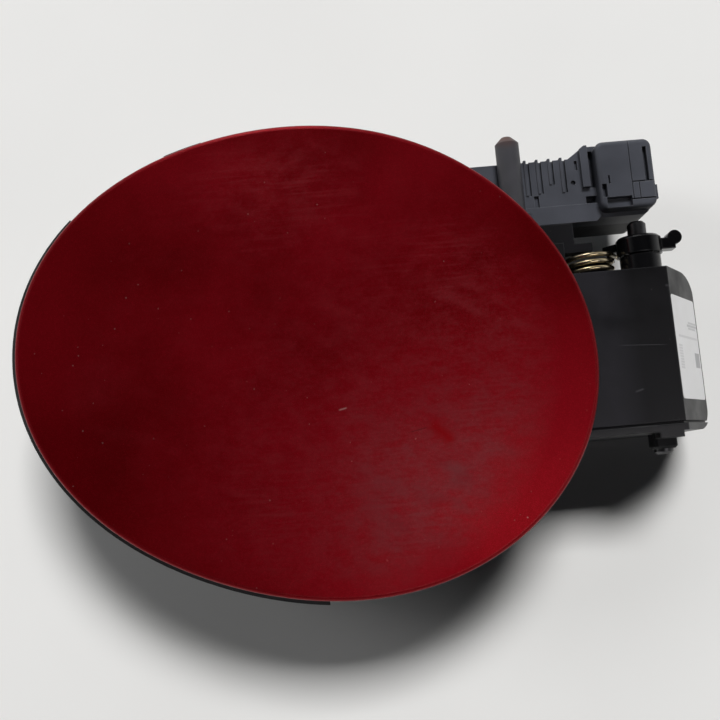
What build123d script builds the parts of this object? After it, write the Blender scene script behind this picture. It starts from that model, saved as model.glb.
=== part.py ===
from build123d import *
import math
import os

# Car fuel door: a bowed door leaf on a swan-neck hinge, with a motor-driven lock bolt beside it.
# Millimetres. The origin is midway between the two base screws, on the mounting face.
# X runs from the door towards the hinge, Y along the hinge axis, Z out of the car.

# Door leaf
DOOR_LENGTH = 176.8
DOOR_HEIGHT = 143.4
DOOR_TILT = -11.1
DOOR_EGG = 1.0
DOOR_BOW_R = 750.0
OUTLINE_POINTS = 36
SKIN_WALL = 2.0
SKIN_FLANGE = 4.0
SKIN_EDGE_R = 1.4
BOND_GAP = 0.2
CARRIER_WALL = 1.8
CARRIER_RIM = 2.2
RIB_WALL = 1.4
RIB_PITCH = 20.0
SEAL_LIP = 1.5
SEAL_WIDTH = 5.7
SEAL_THICK = 2.0
SEAL_ARCS = ((145.0, 125.0), (112.0, 9.0))

# Hinge
EDGE_TO_PIVOT = 20.2
RIM_ABOVE_PIVOT = 20.0
DOOR_ABOVE_BOX_MIDDLE = 5.5
PIN_R = 3.0
PIN_TOP_REACH = 17.0
PIN_TAIL_REACH = 6.8
PIN_TIP_CHAMFER = 0.8
BARREL_WALL = 4.0
BARREL_GAP = 0.8
SWING_GAP = 1.7
ARM_WIDTH = 40.0
ARM_WALL = 5.0
ARM_WEB = 2.2
ARM_END = 276.0
ARM_POCKET_WIDTH = 15.0
ARM_POCKET_START = 6.0
ARM_POCKET_STOP = 12.0
ARM_PAD_LENGTH = 54.0
ARM_PAD_WALL = 3.0
LEG_WALL = 5.0
GUSSET = 13.0
FLOOR_GAP = 1.5

# Hinge box
BOX_WIDTH = 51.6
BOX_WALL = 2.2
BOX_LID_REACH = 27.5
BOX_LID_FRONT = 4.9
BOX_NOSE_REACH = 20.0
BOX_NOSE_DROP = 23.0
BOX_CORNER_R = 7.0
BASE_WALL = 3.0
BASE_REACH = 60.0
SIDE_HEIGHT = 27.0
SIDE_CHAMFER = 8.0
CAP_LIP = 0.8
CAP_GROOVE = 0.7
CAP_RIB = 2.0
BASE_BOSS_WALL = 2.5
BASE_BOSS_HEIGHT = 14.0
BASE_HOLE_R = 2.0
BASE_HOLE_SPACING = 30.0
BOSS_WALL = 1.95
BOSS_LENGTH = 5.65
BUSH_WALL = 1.5
STOP_R = 1.9
STOP_SPACING = 28.0
STOP_INSET = 4.6
LABEL_LENGTH = 33.0
LABEL_WIDTH = 25.4
LABEL_WALL = 0.15
LABEL_TO_CAP = 7.5
LABEL_MARGIN = 0.6
LABEL_CORNER_R = 1.0

# Crank, retainer and spring
COLLAR_WALL = 4.15
COLLAR_RIM = 0.6
CRANK_TO_COLLAR = 2.8
CRANK_ANGLE = 230.0
CRANK_WALL = 2.6
PEG_R = 1.2
PEG_LENGTH = 2.6
TAB_REACH = 13.6
TAB_WALL = 3.6
TAB_KNOB_R = 2.3
RETAINER_WALL = 0.75
RETAINER_LENGTH = 4.8
SPRING_WIRE = 1.5
SPRING_R = 7.5
SPRING_PITCH = 2.2
SPRING_TURNS = 2
SPRING_LEG = 11.0
SPRING_TO_BOSS = 1.8
SPRING_Z = -2.0
POST_GAP = 0.8
POST_LENGTH = 5.0
KEEPER_LENGTH = 9.8
KEEPER_WALL = 2.8
KEEPER_BRACE = 4.2

# Lock bolt and its drive
BOLT_R = 3.85
BOLT_TRAVEL = 8.0
BOLT_X = -39.7
BOLT_Z = 3.0
BOLT_TIP_REACH = 7.9
BOLT_TIP_CONE = 2.3
BOLT_TIP_ROUND = 0.9
BOLT_LEAD = 1.2
BOLT_SINK = 0.65
BOLT_NECK = 4.0
STRIKER_WALL = 6.0
STRIKER_REACH = 4.1
STRIKER_MARGIN = 1.6
STRIKER_FOOT = 3.0
STRIKER_PITCH = 9.0
STRIKER_GAP = 1.5
STRIKER_EYE_GAP = 0.6
RACK_MODULE = 0.8
RACK_WALL = 5.0
PINION_TEETH = 10
WHEEL_MODULE = 0.5
WHEEL_TEETH = 22
WHEEL_WALL = 3.0
WORM_R = 2.0
WORM_TURNS = 4.5
TOOTH_PLAY = 0.3
TOOTH_TIP = 0.9
TOOTH_ROOT = 1.3
TOOTH_SINK = 1.0
TOOTH_TAPER = 0.3
TOOTH_FLARE = 0.4
AXLE_R = 1.5
MOTOR_R = 5.5
MOTOR_EDGE_R = 0.9
MOTOR_SHAFT_R = 1.0
MOTOR_SHAFT_SINK = 6.0
MOTOR_LENGTH = 18.0
MOTOR_TO_WHEEL = 11.0
GUIDE_WALL = 1.6
GUIDE_LENGTH = 4.0

# Actuator case
CASE_LENGTH = 67.5
CASE_WIDTH = 20.5
CASE_TO_BOX = 19.6
CASE_TO_PIVOT = 5.5
CASE_HEIGHT = 26.0
CASE_WALL = 1.6
CASE_CORNER_R = 3.0
COVER_HEIGHT = 10.5
BAND_WIDTH = 5.0
BAND_LIP = 1.0
BAND_RISE = 0.6
BAND_DEPTH = 4.0
BAND_TO_PIVOT = 10.8
PLUG_LENGTH = 18.4
PLUG_WIDTH = 22.7
PLUG_DEPTH = 13.0
PLUG_WALL = 1.6
PLUG_RISE = 5.0
PLUG_ROOF = 4.0
PLUG_SHIFT = 3.6
PLUG_OVERHANG = 1.3
PLUG_CORNER_R = 2.7
PLUG_EDGE_R = 1.8
PLUG_TAB = 0.7
PLUG_TAB_WIDTH = 4.6
# Cuts in the plug's top: from and to along its length, the same along its width, as shares, and the depth
PLUG_CUTS = (
    (0.82, 0.89, 0.37, 0.87, 2.4),
    (0.05, 0.13, 0.18, 0.37, 2.4),
    (0.17, 0.20, 0.37, 0.49, 1.2),
    (0.11, 0.55, 0.03, 0.17, 2.4),
    (0.55, 1.10, 0.11, 0.13, 1.0),
    (0.57, 0.59, 0.13, 1.10, 0.5),
    (0.58, 1.10, 0.36, 0.38, 0.5),
    (0.69, 0.71, 0.13, 0.36, 0.5),
)
SHOULDER_LENGTH = 6.2
SHOULDER_SLOPE = 5.2
SHOULDER_RIB = 2.5
SHOULDER_RISE = 2.0
RECESS_WIDTH = 1.9
RECESS_DEPTH = 3.0
FIN_PITCH = 3.95
FIN_SLOT = 1.0
FIN_DEPTH = 1.2
FIN_WALL = 0.8
FIN_RISE = 0.5
FIN_BUMP = 0.6
FIN_STARTS = (4.2, 4.6, 7.4, 4.4)
EJECT_R = 0.8
TERMINAL_COUNT = 5
TERMINAL_PITCH = 3.4
TERMINAL_WALL = 0.8
TERMINAL_REACH = 9.0
TERMINAL_ROOT = 4.8
SCREW_R = 1.6
SCREW_HEAD_LIP = 1.6
SCREW_HEAD = 2.2
SCREW_LENGTH = 8.0
SCREW_BITE = 2.0

# Running and seating gaps, and how far a cut runs past the face it opens
RUN_GAP = 0.05
SEAT_GAP = 0.02
BODY_GAP = 0.3
CUT_PAST = 1.0

# Places worked out from the sizes above
BARREL_R = PIN_R + BARREL_WALL
BOSS_R = PIN_R + BUSH_WALL + BOSS_WALL
COLLAR_R = PIN_R + COLLAR_WALL
RETAINER_WIDTH = 2 * (PIN_R + RETAINER_WALL)
BASE_BOSS_R = BASE_HOLE_R + BASE_BOSS_WALL
SCREW_HEAD_R = SCREW_R + SCREW_HEAD_LIP
BOX_TOP = BARREL_R + BARREL_GAP + BOX_WALL
ARM_INNER_R = math.hypot(BOX_LID_REACH, BOX_TOP) + SWING_GAP
ARM_OUTER_R = ARM_INNER_R + ARM_WALL
PIVOT_X = BASE_BOSS_R + BOX_WALL - BOX_NOSE_REACH - SEAT_GAP
PIVOT_Z = ARM_OUTER_R + FLOOR_GAP + BASE_WALL
LID_Z = PIVOT_Z + BOX_TOP
NOSE_X = PIVOT_X + BOX_NOSE_REACH
BASE_X = PIVOT_X - BASE_REACH
SIDE_Y = BOX_WIDTH / 2
INNER_Y = SIDE_Y - BOX_WALL
RIM_Z = PIVOT_Z + RIM_ABOVE_PIVOT
SEAT_Z = RIM_Z - SKIN_FLANGE
DOOR_X = PIVOT_X - EDGE_TO_PIVOT - DOOR_LENGTH / 2
DOOR_Y = DOOR_ABOVE_BOX_MIDDLE
MEAN_R = (DOOR_LENGTH + DOOR_HEIGHT) / 4
APEX_Z = RIM_Z + MEAN_R**2 / (2 * DOOR_BOW_R)
CARRIER_IN = SKIN_WALL + BOND_GAP
CRANK_REACH = COLLAR_R + CRANK_TO_COLLAR + PEG_R
SPRING_X = -BOSS_R - SPRING_TO_BOSS - SPRING_WIRE / 2 - SPRING_R
SPRING_SLOPE = SPRING_PITCH / (math.tau * SPRING_R)
COIL_Y = SIDE_Y + BODY_GAP + SPRING_WIRE / 2 + SPRING_LEG * SPRING_SLOPE
COIL_RISE = (SPRING_TURNS + 0.5) * SPRING_PITCH
SPRING_TOP = COIL_Y + COIL_RISE + SPRING_LEG * SPRING_SLOPE + SPRING_WIRE / 2
CRANK_Y = SPRING_TOP + BODY_GAP
COLLAR_Y = SIDE_Y + BOSS_LENGTH + BODY_GAP
COLLAR_LENGTH = CRANK_Y + CRANK_WALL + COLLAR_RIM - COLLAR_Y
BOLT_AXIS_X = PIVOT_X + BOLT_X
BOLT_AXIS_Z = PIVOT_Z + BOLT_Z
STRIKER_Y = SIDE_Y + STRIKER_REACH
COVER_Z = BOLT_AXIS_Z - BOLT_R + BOLT_SINK
CASE_Z = COVER_Z - CASE_HEIGHT
SPLIT_Z = COVER_Z - COVER_HEIGHT
CASE_X1 = PIVOT_X + CASE_TO_PIVOT
CASE_X0 = CASE_X1 - CASE_LENGTH
CASE_Y0 = SIDE_Y + CASE_TO_BOX
CASE_Y1 = CASE_Y0 + CASE_WIDTH
PLUG_X1 = CASE_X1 + PLUG_OVERHANG
PLUG_X0 = PLUG_X1 - PLUG_LENGTH
PLUG_Y1 = CASE_Y1 + PLUG_SHIFT
PLUG_Y0 = PLUG_Y1 - PLUG_WIDTH
PLUG_Z = COVER_Z + PLUG_RISE
MOUTH_Z0 = SPLIT_Z + PLUG_WALL
MOUTH_Z1 = PLUG_Z - PLUG_ROOF
RECESS_X = PLUG_X0 - RECESS_WIDTH
RACK_Y1 = CASE_Y1 - CASE_WALL - BODY_GAP
RACK_Y0 = CASE_Y0 + CASE_WALL + BODY_GAP + BOLT_TRAVEL
PINION_R = RACK_MODULE * PINION_TEETH / 2
WHEEL_R = WHEEL_MODULE * WHEEL_TEETH / 2
RACK_X = BOLT_AXIS_X + BOLT_NECK - RACK_MODULE
GEAR_X = RACK_X + PINION_R
GEAR_Y = RACK_Y0 - BOLT_TRAVEL / 2 + (RACK_Y1 - RACK_Y0) / 2
WORM_Y = GEAR_Y + WHEEL_R + WORM_R
WORM_Z = CASE_Z + CASE_WALL + MOTOR_R + BODY_GAP
RACK_Z = WORM_Z + WORM_R + RACK_MODULE + 2 * BODY_GAP
MOTOR_X = GEAR_X + MOTOR_TO_WHEEL


def block(x0, x1, y0, y1, z0, z1):
    middle = Pos((x0 + x1) / 2, (y0 + y1) / 2, (z0 + z1) / 2)
    return middle * Box(x1 - x0, y1 - y0, z1 - z0)


def along_x(sketch, x0, x1):
    return extrude(Plane.YZ.offset(x0) * sketch, amount=x1 - x0)


def along_y(sketch, y0, y1):
    return extrude(Plane.XZ.offset(-y0) * sketch, amount=y1 - y0, dir=(0, 1, 0))


def along_z(sketch, z0, z1):
    return extrude(Plane.XY.offset(z0) * sketch, amount=z1 - z0)


def rod_x(radius, y, z, x0, x1):
    return along_x(Pos(y, z) * Circle(radius), x0, x1)


def rod_y(radius, x, z, y0, y1):
    return along_y(Pos(x, z) * Circle(radius), y0, y1)


def rod_z(radius, x, y, z0, z1):
    return along_z(Pos(x, y) * Circle(radius), z0, z1)


def shape(*points):
    return make_face(Polyline(*points, close=True))


def pivot_sector(inner, outer, start, end):
    middle = (PIVOT_X, PIVOT_Z)
    rim = CenterArc(middle, outer, start, end - start)
    core = CenterArc(middle, inner, start, end - start)
    return make_face([rim, core, Line(rim @ 0, core @ 0), Line(rim @ 1, core @ 1)])


# Door leaf
def outline_point(angle, grow):
    turn = math.radians(angle)
    tilt = math.radians(DOOR_TILT)
    along, across = DOOR_LENGTH / 2, DOOR_HEIGHT / 2
    x, y = along * math.cos(turn), across * math.sin(turn)
    nx, ny = across * math.cos(turn), along * math.sin(turn)
    bulge = grow - DOOR_EGG * math.cos(3 * (math.atan2(y, x) + tilt))
    x += bulge * nx / math.hypot(nx, ny)
    y += bulge * ny / math.hypot(nx, ny)
    return (
        DOOR_X + x * math.cos(tilt) - y * math.sin(tilt),
        DOOR_Y + x * math.sin(tilt) + y * math.cos(tilt),
    )


def door_outline(grow):
    step = 360 / OUTLINE_POINTS
    points = [outline_point(step * i, grow) for i in range(OUTLINE_POINTS)]
    return make_face(Spline(*points, periodic=True))


def bowed(grow, depth):
    prism = along_z(door_outline(grow), SEAT_Z, APEX_Z + CUT_PAST)
    ball = Rot(90, 0, 0) * Sphere(DOOR_BOW_R - depth)
    return prism & Pos(DOOR_X, DOOR_Y, APEX_Z - DOOR_BOW_R) * ball


def door_skin():
    outside = bowed(0, 0)
    rim = outside.edges().group_by(Axis.Z)[-1]
    return fillet(rim, SKIN_EDGE_R) - bowed(-SKIN_WALL, SKIN_WALL)


def door_screw_places():
    right = PIVOT_X - ARM_OUTER_R - GUSSET
    left = PIVOT_X - ARM_INNER_R - ARM_PAD_LENGTH + 2 * SCREW_HEAD_R
    side = ARM_WIDTH / 2 - 2 * SCREW_HEAD_R
    pad = [(x, y) for x in (left, right) for y in (-side, side)]
    foot = BOLT_AXIS_X - BOLT_R - 2 * SCREW_HEAD_R
    eye = STRIKER_Y - STRIKER_WALL / 2
    return pad + [(foot, eye), (foot - STRIKER_PITCH, eye)]


def door_carrier():
    inside = bowed(-CARRIER_IN - CARRIER_RIM, CARRIER_IN + CARRIER_WALL)
    dish = bowed(-CARRIER_IN, CARRIER_IN) - inside
    field = bowed(-CARRIER_IN - CARRIER_RIM / 2, CARRIER_IN + CARRIER_WALL / 2)
    count = int(DOOR_LENGTH / 2 / RIB_PITCH)
    plan = Sketch()
    for i in range(-count, count + 1):
        plan += Pos(DOOR_X + i * RIB_PITCH, DOOR_Y) * Rectangle(RIB_WALL, DOOR_LENGTH)
        plan += Pos(DOOR_X, DOOR_Y + i * RIB_PITCH) * Rectangle(DOOR_LENGTH, RIB_WALL)
    for x, y in door_screw_places():
        plan += Pos(x, y) * Circle(SCREW_R + 2 * RIB_WALL)
    carrier = dish + (field & along_z(plan, SEAT_Z, APEX_Z))
    bite = SEAT_Z + SCREW_BITE + SEAT_GAP
    holes = [rod_z(SCREW_R + SEAT_GAP, x, y, SEAT_Z - CUT_PAST, bite) for x, y in door_screw_places()]
    return carrier - holes


def edge_seal():
    band = door_outline(SEAL_LIP) - door_outline(SEAL_LIP - SEAL_WIDTH)
    strip = along_z(band, SEAT_Z - SEAL_THICK, SEAT_Z)
    reach = DOOR_LENGTH
    pieces = []
    for start, sweep in SEAL_ARCS:
        arc = CenterArc((DOOR_X, DOOR_Y), reach, start, sweep)
        sides = [Line((DOOR_X, DOOR_Y), arc @ 0), Line((DOOR_X, DOOR_Y), arc @ 1)]
        wedge = along_z(make_face([arc] + sides), SEAT_Z - SEAL_THICK, SEAT_Z)
        pieces.append(strip & wedge)
    return Compound(children=[piece.solid() for piece in pieces])


def door_screws():
    screws = []
    for i, (x, y) in enumerate(door_screw_places()):
        wall = ARM_PAD_WALL if i < 4 else STRIKER_FOOT
        head = rod_z(SCREW_HEAD_R, x, y, SEAT_Z - wall - SCREW_HEAD, SEAT_Z - wall)
        shank = rod_z(SCREW_R, x, y, SEAT_Z - wall, SEAT_Z + SCREW_BITE)
        screws.append((head + shank).solid())
    return Compound(children=screws)


def lock_striker():
    eye = BOLT_R + STRIKER_EYE_GAP
    half = eye + STRIKER_MARGIN
    eye_y0, eye_y1 = STRIKER_Y - STRIKER_WALL, STRIKER_Y
    places = door_screw_places()[4:]
    foot = places[-1][0] - SCREW_HEAD_R - STRIKER_MARGIN
    plate = block(foot, BOLT_AXIS_X + half, eye_y0, eye_y1, SEAT_Z - STRIKER_FOOT, SEAT_Z)
    middle = Pos(BOLT_AXIS_X, BOLT_AXIS_Z)
    loop = middle * RectangleRounded(2 * half, 2 * half, STRIKER_MARGIN)
    loop += Pos(BOLT_AXIS_X, (BOLT_AXIS_Z + SEAT_Z) / 2) * Rectangle(2 * half, SEAT_Z - BOLT_AXIS_Z)
    lug = along_y(loop - middle * Rectangle(2 * eye, 2 * eye), eye_y0, eye_y1)
    under = SEAT_Z - STRIKER_FOOT - CUT_PAST
    holes = [rod_z(SCREW_R + SEAT_GAP, x, y, under, SEAT_Z + CUT_PAST) for x, y in places]
    return plate + lug - holes


# Hinge
def hinge_arm():
    side = ARM_WIDTH / 2
    outer_x, inner_x = PIVOT_X - ARM_OUTER_R, PIVOT_X - ARM_INNER_R
    neck = pivot_sector(ARM_INNER_R, ARM_OUTER_R, 180, ARM_END)
    neck += shape((outer_x, PIVOT_Z), (inner_x, PIVOT_Z), (inner_x, SEAT_Z), (outer_x, SEAT_Z))
    pad_x = inner_x - ARM_PAD_LENGTH
    pad_z = SEAT_Z - ARM_PAD_WALL
    neck += shape((pad_x, pad_z), (inner_x, pad_z), (inner_x, SEAT_Z), (pad_x, SEAT_Z))
    leg_tilt = ARM_END - 270 - math.degrees(LEG_WALL / 2 / ARM_INNER_R)
    leg_place = Pos(PIVOT_X, PIVOT_Z) * Rot(0, 0, leg_tilt) * Pos(0, -ARM_INNER_R / 2)
    leg = leg_place * Rectangle(LEG_WALL, ARM_INNER_R + ARM_WEB)
    arm = along_y(neck + leg, -side, side)
    end = INNER_Y - BODY_GAP
    arm += rod_y(BARREL_R, PIVOT_X, PIVOT_Z, -end, end)
    gusset = shape((outer_x, pad_z), (outer_x - GUSSET, pad_z), (outer_x, pad_z - GUSSET))
    for y in (-side, side - ARM_PAD_WALL):
        arm += along_y(gusset, y, y + ARM_PAD_WALL)
    start, stop = 180 + ARM_POCKET_START, ARM_END - ARM_POCKET_STOP
    pocket = pivot_sector(ARM_INNER_R + ARM_WEB, ARM_OUTER_R + CUT_PAST, start, stop)
    for y in (-side + ARM_WEB, side - ARM_WEB - ARM_POCKET_WIDTH):
        arm -= along_y(pocket, y, y + ARM_POCKET_WIDTH)
    arm -= rod_y(PIN_R + SEAT_GAP, PIVOT_X, PIVOT_Z, -SIDE_Y, SIDE_Y)
    for x, y in door_screw_places()[:4]:
        arm -= rod_z(SCREW_R + SEAT_GAP, x, y, pad_z - CUT_PAST, SEAT_Z + CUT_PAST)
    return arm


def hinge_pin():
    tail = -SIDE_Y - PIN_TAIL_REACH
    pin = rod_y(PIN_R, PIVOT_X, PIVOT_Z, tail, SIDE_Y + PIN_TOP_REACH)
    ends = pin.edges().group_by(Axis.Y)
    return chamfer(ends[0] + ends[-1], PIN_TIP_CHAMFER)


def pin_retainer():
    y1 = -SIDE_Y - BODY_GAP
    square = Pos(PIVOT_X, PIVOT_Z) * RectangleRounded(RETAINER_WIDTH, RETAINER_WIDTH, RETAINER_WIDTH / 6)
    nut = along_y(square, y1 - RETAINER_LENGTH, y1)
    nut = chamfer(nut.edges().group_by(Axis.Y)[0], RETAINER_WIDTH / 10)
    y0 = y1 - RETAINER_LENGTH
    return nut - rod_y(PIN_R + SEAT_GAP, PIVOT_X, PIVOT_Z, y0 - CUT_PAST, y1 + CUT_PAST)


def crank_point():
    turn = math.radians(CRANK_ANGLE)
    return PIVOT_X + CRANK_REACH * math.cos(turn), PIVOT_Z + CRANK_REACH * math.sin(turn)


def crank_collar():
    y0, y1 = COLLAR_Y, COLLAR_Y + COLLAR_LENGTH
    collar = rod_y(COLLAR_R, PIVOT_X, PIVOT_Z, y0, y1)
    collar = chamfer(collar.edges().group_by(Axis.Y)[-1], COLLAR_LENGTH / 8)
    peg_x, peg_z = crank_point()
    web = Pos(PIVOT_X, PIVOT_Z) * Rot(0, 0, CRANK_ANGLE) * Pos(CRANK_REACH / 2, 0)
    lobe = web * Rectangle(CRANK_REACH, 4 * PEG_R) + Pos(peg_x, peg_z) * Circle(2 * PEG_R)
    collar += along_y(lobe, CRANK_Y, CRANK_Y + CRANK_WALL)
    collar += rod_y(PEG_R, peg_x, peg_z, CRANK_Y - PEG_LENGTH, CRANK_Y + CRANK_WALL)
    tab_y = y0 + (COLLAR_LENGTH - TAB_WALL) / 2
    tab_x = PIVOT_X + TAB_REACH - TAB_KNOB_R
    tab_z0, tab_z1 = PIVOT_Z - TAB_KNOB_R, PIVOT_Z + TAB_KNOB_R
    tab = block(PIVOT_X + PIN_R, tab_x, tab_y, tab_y + TAB_WALL, tab_z0, tab_z1)
    knob = rod_z(TAB_KNOB_R, tab_x, tab_y + TAB_WALL, tab_z0, tab_z1)
    knob &= block(tab_x - TAB_REACH, tab_x + TAB_REACH, tab_y, y1 + TAB_KNOB_R, tab_z0, tab_z1)
    collar += tab + knob
    return collar - rod_y(PIN_R + SEAT_GAP, PIVOT_X, PIVOT_Z, y0 - CUT_PAST, y1 + CUT_PAST)


def hinge_bushes():
    bushes = []
    for y0, y1 in ((INNER_Y, SIDE_Y + BOSS_LENGTH), (-SIDE_Y, -INNER_Y)):
        bush = rod_y(PIN_R + BUSH_WALL, PIVOT_X, PIVOT_Z, y0, y1)
        bush -= rod_y(PIN_R + RUN_GAP, PIVOT_X, PIVOT_Z, y0 - CUT_PAST, y1 + CUT_PAST)
        bushes.append(bush.solid())
    return Compound(children=bushes)


# Hinge box
def nose_normal():
    run = BOX_NOSE_REACH - BOX_LID_FRONT
    length = math.hypot(run, BOX_NOSE_DROP)
    return BOX_NOSE_DROP / length, run / length


def box_profile(grow):
    nx, nz = nose_normal()
    top, nose = LID_Z + grow, NOSE_X + grow
    front = PIVOT_X + BOX_LID_FRONT + (grow - nz * grow) / nx
    nose_z = LID_Z - (nx * (nose - PIVOT_X - BOX_LID_FRONT) - grow) / nz
    lid_x = PIVOT_X - BOX_LID_REACH
    return shape(
        (lid_x, top),
        (front, top),
        (nose, nose_z),
        (nose, 0),
        (BASE_X, 0),
        (BASE_X, SIDE_HEIGHT - SIDE_CHAMFER),
        (BASE_X + SIDE_CHAMFER, SIDE_HEIGHT),
        (lid_x - SIDE_CHAMFER, SIDE_HEIGHT),
        (lid_x, SIDE_HEIGHT + SIDE_CHAMFER),
    )


def box_plan(grow):
    x0, x1, y1 = BASE_X - 2 * BOX_CORNER_R, NOSE_X + grow, SIDE_Y + grow
    plan = Pos((x0 + x1) / 2, 0) * RectangleRounded(x1 - x0, 2 * y1, BOX_CORNER_R + grow)
    return along_z(plan, -CUT_PAST, LID_Z + BOX_WALL)


def box_cavity():
    hollow = box_profile(-BOX_WALL) + shape(
        (BASE_X - CUT_PAST, 0),
        (PIVOT_X, 0),
        (PIVOT_X, LID_Z - BOX_WALL),
        (BASE_X - CUT_PAST, LID_Z - BOX_WALL),
    )
    hollow -= Pos(PIVOT_X, 0) * Rectangle(4 * BASE_REACH, 2 * BASE_WALL)
    return along_y(hollow, -SIDE_Y, INNER_Y) & box_plan(-BOX_WALL)


def hinge_box():
    joint_y = -INNER_Y
    walls = along_y(box_profile(0), joint_y, SIDE_Y) & box_plan(0)
    walls -= box_cavity()
    rim = box_profile(0) - box_profile(-CAP_LIP)
    walls -= along_y(rim, joint_y, joint_y + CAP_GROOVE)
    for y in (-BASE_HOLE_SPACING / 2, BASE_HOLE_SPACING / 2):
        walls += rod_z(BASE_BOSS_R, 0, y, 0, BASE_BOSS_HEIGHT)
        walls -= rod_z(BASE_HOLE_R, 0, y, -CUT_PAST, BASE_BOSS_HEIGHT - BASE_WALL)
    walls += rod_y(BOSS_R, PIVOT_X, PIVOT_Z, INNER_Y, SIDE_Y + BOSS_LENGTH)
    post_r = SPRING_R - SPRING_WIRE / 2 - POST_GAP
    walls += rod_y(post_r, PIVOT_X + SPRING_X, PIVOT_Z + SPRING_Z, INNER_Y, SIDE_Y + POST_LENGTH)
    for x, z in bracket_screw_places():
        walls -= rod_y(SCREW_R + SEAT_GAP, x, z, INNER_Y - CUT_PAST, SIDE_Y + CUT_PAST)
    bore = PIN_R + BUSH_WALL + SEAT_GAP
    return walls - rod_y(bore, PIVOT_X, PIVOT_Z, INNER_Y - CUT_PAST, SIDE_Y + BOSS_LENGTH + CUT_PAST)


def hinge_cap():
    lipped = box_profile(CAP_LIP) - Pos(0, -LID_Z) * Rectangle(8 * BASE_REACH, 2 * LID_Z)
    cap = along_y(lipped, -SIDE_Y, -INNER_Y) & box_plan(0)
    half = RETAINER_WIDTH / 2
    rib_z = PIVOT_Z + math.hypot(half, half)
    cap += block(PIVOT_X - half, PIVOT_X + half, -SIDE_Y - CAP_RIB, -SIDE_Y, rib_z, LID_Z + CAP_LIP)
    return cap - rod_y(PIN_R + BUSH_WALL + SEAT_GAP, PIVOT_X, PIVOT_Z, -SIDE_Y - CUT_PAST, SIDE_Y)


def bump_stops():
    top = SEAT_Z - BODY_GAP
    x = PIVOT_X - EDGE_TO_PIVOT - STOP_INSET
    stops = []
    for y in (-STOP_SPACING / 2, STOP_SPACING / 2):
        button = rod_z(STOP_R, x, y, LID_Z, top)
        stops.append(fillet(button.edges().group_by(Axis.Z)[-1], STOP_R / 3).solid())
    return Compound(children=stops)


def paper_label():
    nx, nz = nose_normal()
    edge = Vector(PIVOT_X + BOX_LID_FRONT, LABEL_TO_CAP + LABEL_LENGTH / 2 - INNER_Y, LID_Z)
    down = Vector(nz, 0, -nx)
    middle = edge + down * (LABEL_WIDTH / 2 + LABEL_MARGIN)
    face = Plane(origin=middle, x_dir=(0, 1, 0), z_dir=(nx, 0, nz))
    return extrude(face * RectangleRounded(LABEL_LENGTH, LABEL_WIDTH, LABEL_CORNER_R), amount=LABEL_WALL)


# Spring
def torsion_spring():
    peg_x, peg_z = crank_point()
    coil_x, coil_z = PIVOT_X + SPRING_X, PIVOT_Z + SPRING_Z
    beside = PEG_R + SPRING_WIRE / 2 + BODY_GAP
    reach = math.hypot(peg_x - coil_x, peg_z - coil_z)
    lean = math.atan2(peg_z - coil_z, peg_x - coil_x) + math.acos((SPRING_R - beside) / reach)
    turn = SPRING_TURNS + (math.pi - lean) / math.tau
    coil = Helix(pitch=SPRING_PITCH, height=turn * SPRING_PITCH, radius=SPRING_R)
    coil = Pos(coil_x, COIL_Y, coil_z) * Rot(-90, 0, 0) * Rot(0, 0, 180) * coil
    anchor = Line(coil @ 0 - (coil % 0) * SPRING_LEG, coil @ 0)
    run = math.sqrt(reach**2 - (SPRING_R - beside) ** 2) + SPRING_WIRE
    free = Line(coil @ 1, coil @ 1 + (coil % 1) * run)
    path = Wire([anchor.edge(), coil.edge(), free.edge()])
    section = Plane(origin=path @ 0, z_dir=path % 0) * Circle(SPRING_WIRE / 2)
    return sweep(section, path=path, is_frenet=True)


# Lock actuator
def bracket_screw_places():
    x0, x1 = bracket_span()
    margin = BASE_WALL + 2 * SCREW_R + SCREW_HEAD_R / 2
    return [(x0 + margin, CASE_Z / 2), (x1 - margin, CASE_Z / 2)]


def bracket_span():
    return BASE_X, PIVOT_X + SPRING_X - SPRING_R - SPRING_WIRE / 2 - BODY_GAP


def actuator_bracket():
    x0, x1 = bracket_span()
    flange_y = SIDE_Y + BASE_WALL
    end_y = CASE_Y1 - CASE_CORNER_R
    bracket = block(x0, x1, SIDE_Y, flange_y, 0, SIDE_HEIGHT - SIDE_CHAMFER)
    bracket += block(x0, x1, SIDE_Y, end_y, CASE_Z - BASE_WALL, CASE_Z)
    bracket += block(x0, x1, SIDE_Y, end_y, 0, BASE_WALL)
    for x in (x0, x1 - BASE_WALL):
        bracket += block(x, x + BASE_WALL, SIDE_Y, end_y, 0, CASE_Z)
    keep_y0 = SPRING_TOP + BODY_GAP
    keep_y1 = keep_y0 + KEEPER_WALL
    keep_z = PIVOT_Z + SPRING_Z
    wall_x = x1 - 2 * BASE_WALL
    bracket += block(wall_x, x1, SIDE_Y, keep_y1, CASE_Z - BASE_WALL, keep_z + 2 * BASE_WALL)
    keep_x = x1 + KEEPER_LENGTH
    bracket += block(wall_x, keep_x, keep_y0, keep_y1, keep_z - BASE_WALL, keep_z + BASE_WALL)
    brace_x = x1 + KEEPER_BRACE
    brace_y = CASE_Y0 - BAND_LIP - BODY_GAP
    bracket += block(wall_x, brace_x, keep_y1, brace_y, CASE_Z - BASE_WALL, keep_z + BASE_WALL)
    for x, z in bracket_screw_places():
        bracket -= rod_y(SCREW_R + SEAT_GAP, x, z, SIDE_Y - CUT_PAST, flange_y + CUT_PAST)
    for x, y in case_screw_places():
        bracket -= rod_z(SCREW_R + SEAT_GAP, x, y, CASE_Z - BASE_WALL - CUT_PAST, CASE_Z + CUT_PAST)
    return bracket


def bracket_screws():
    screws = []
    for x, z in bracket_screw_places():
        seat = SIDE_Y + BASE_WALL
        head = rod_y(SCREW_HEAD_R, x, z, seat, seat + SCREW_HEAD)
        screws.append((head + rod_y(SCREW_R, x, z, INNER_Y, seat)).solid())
    return Compound(children=screws)


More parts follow.
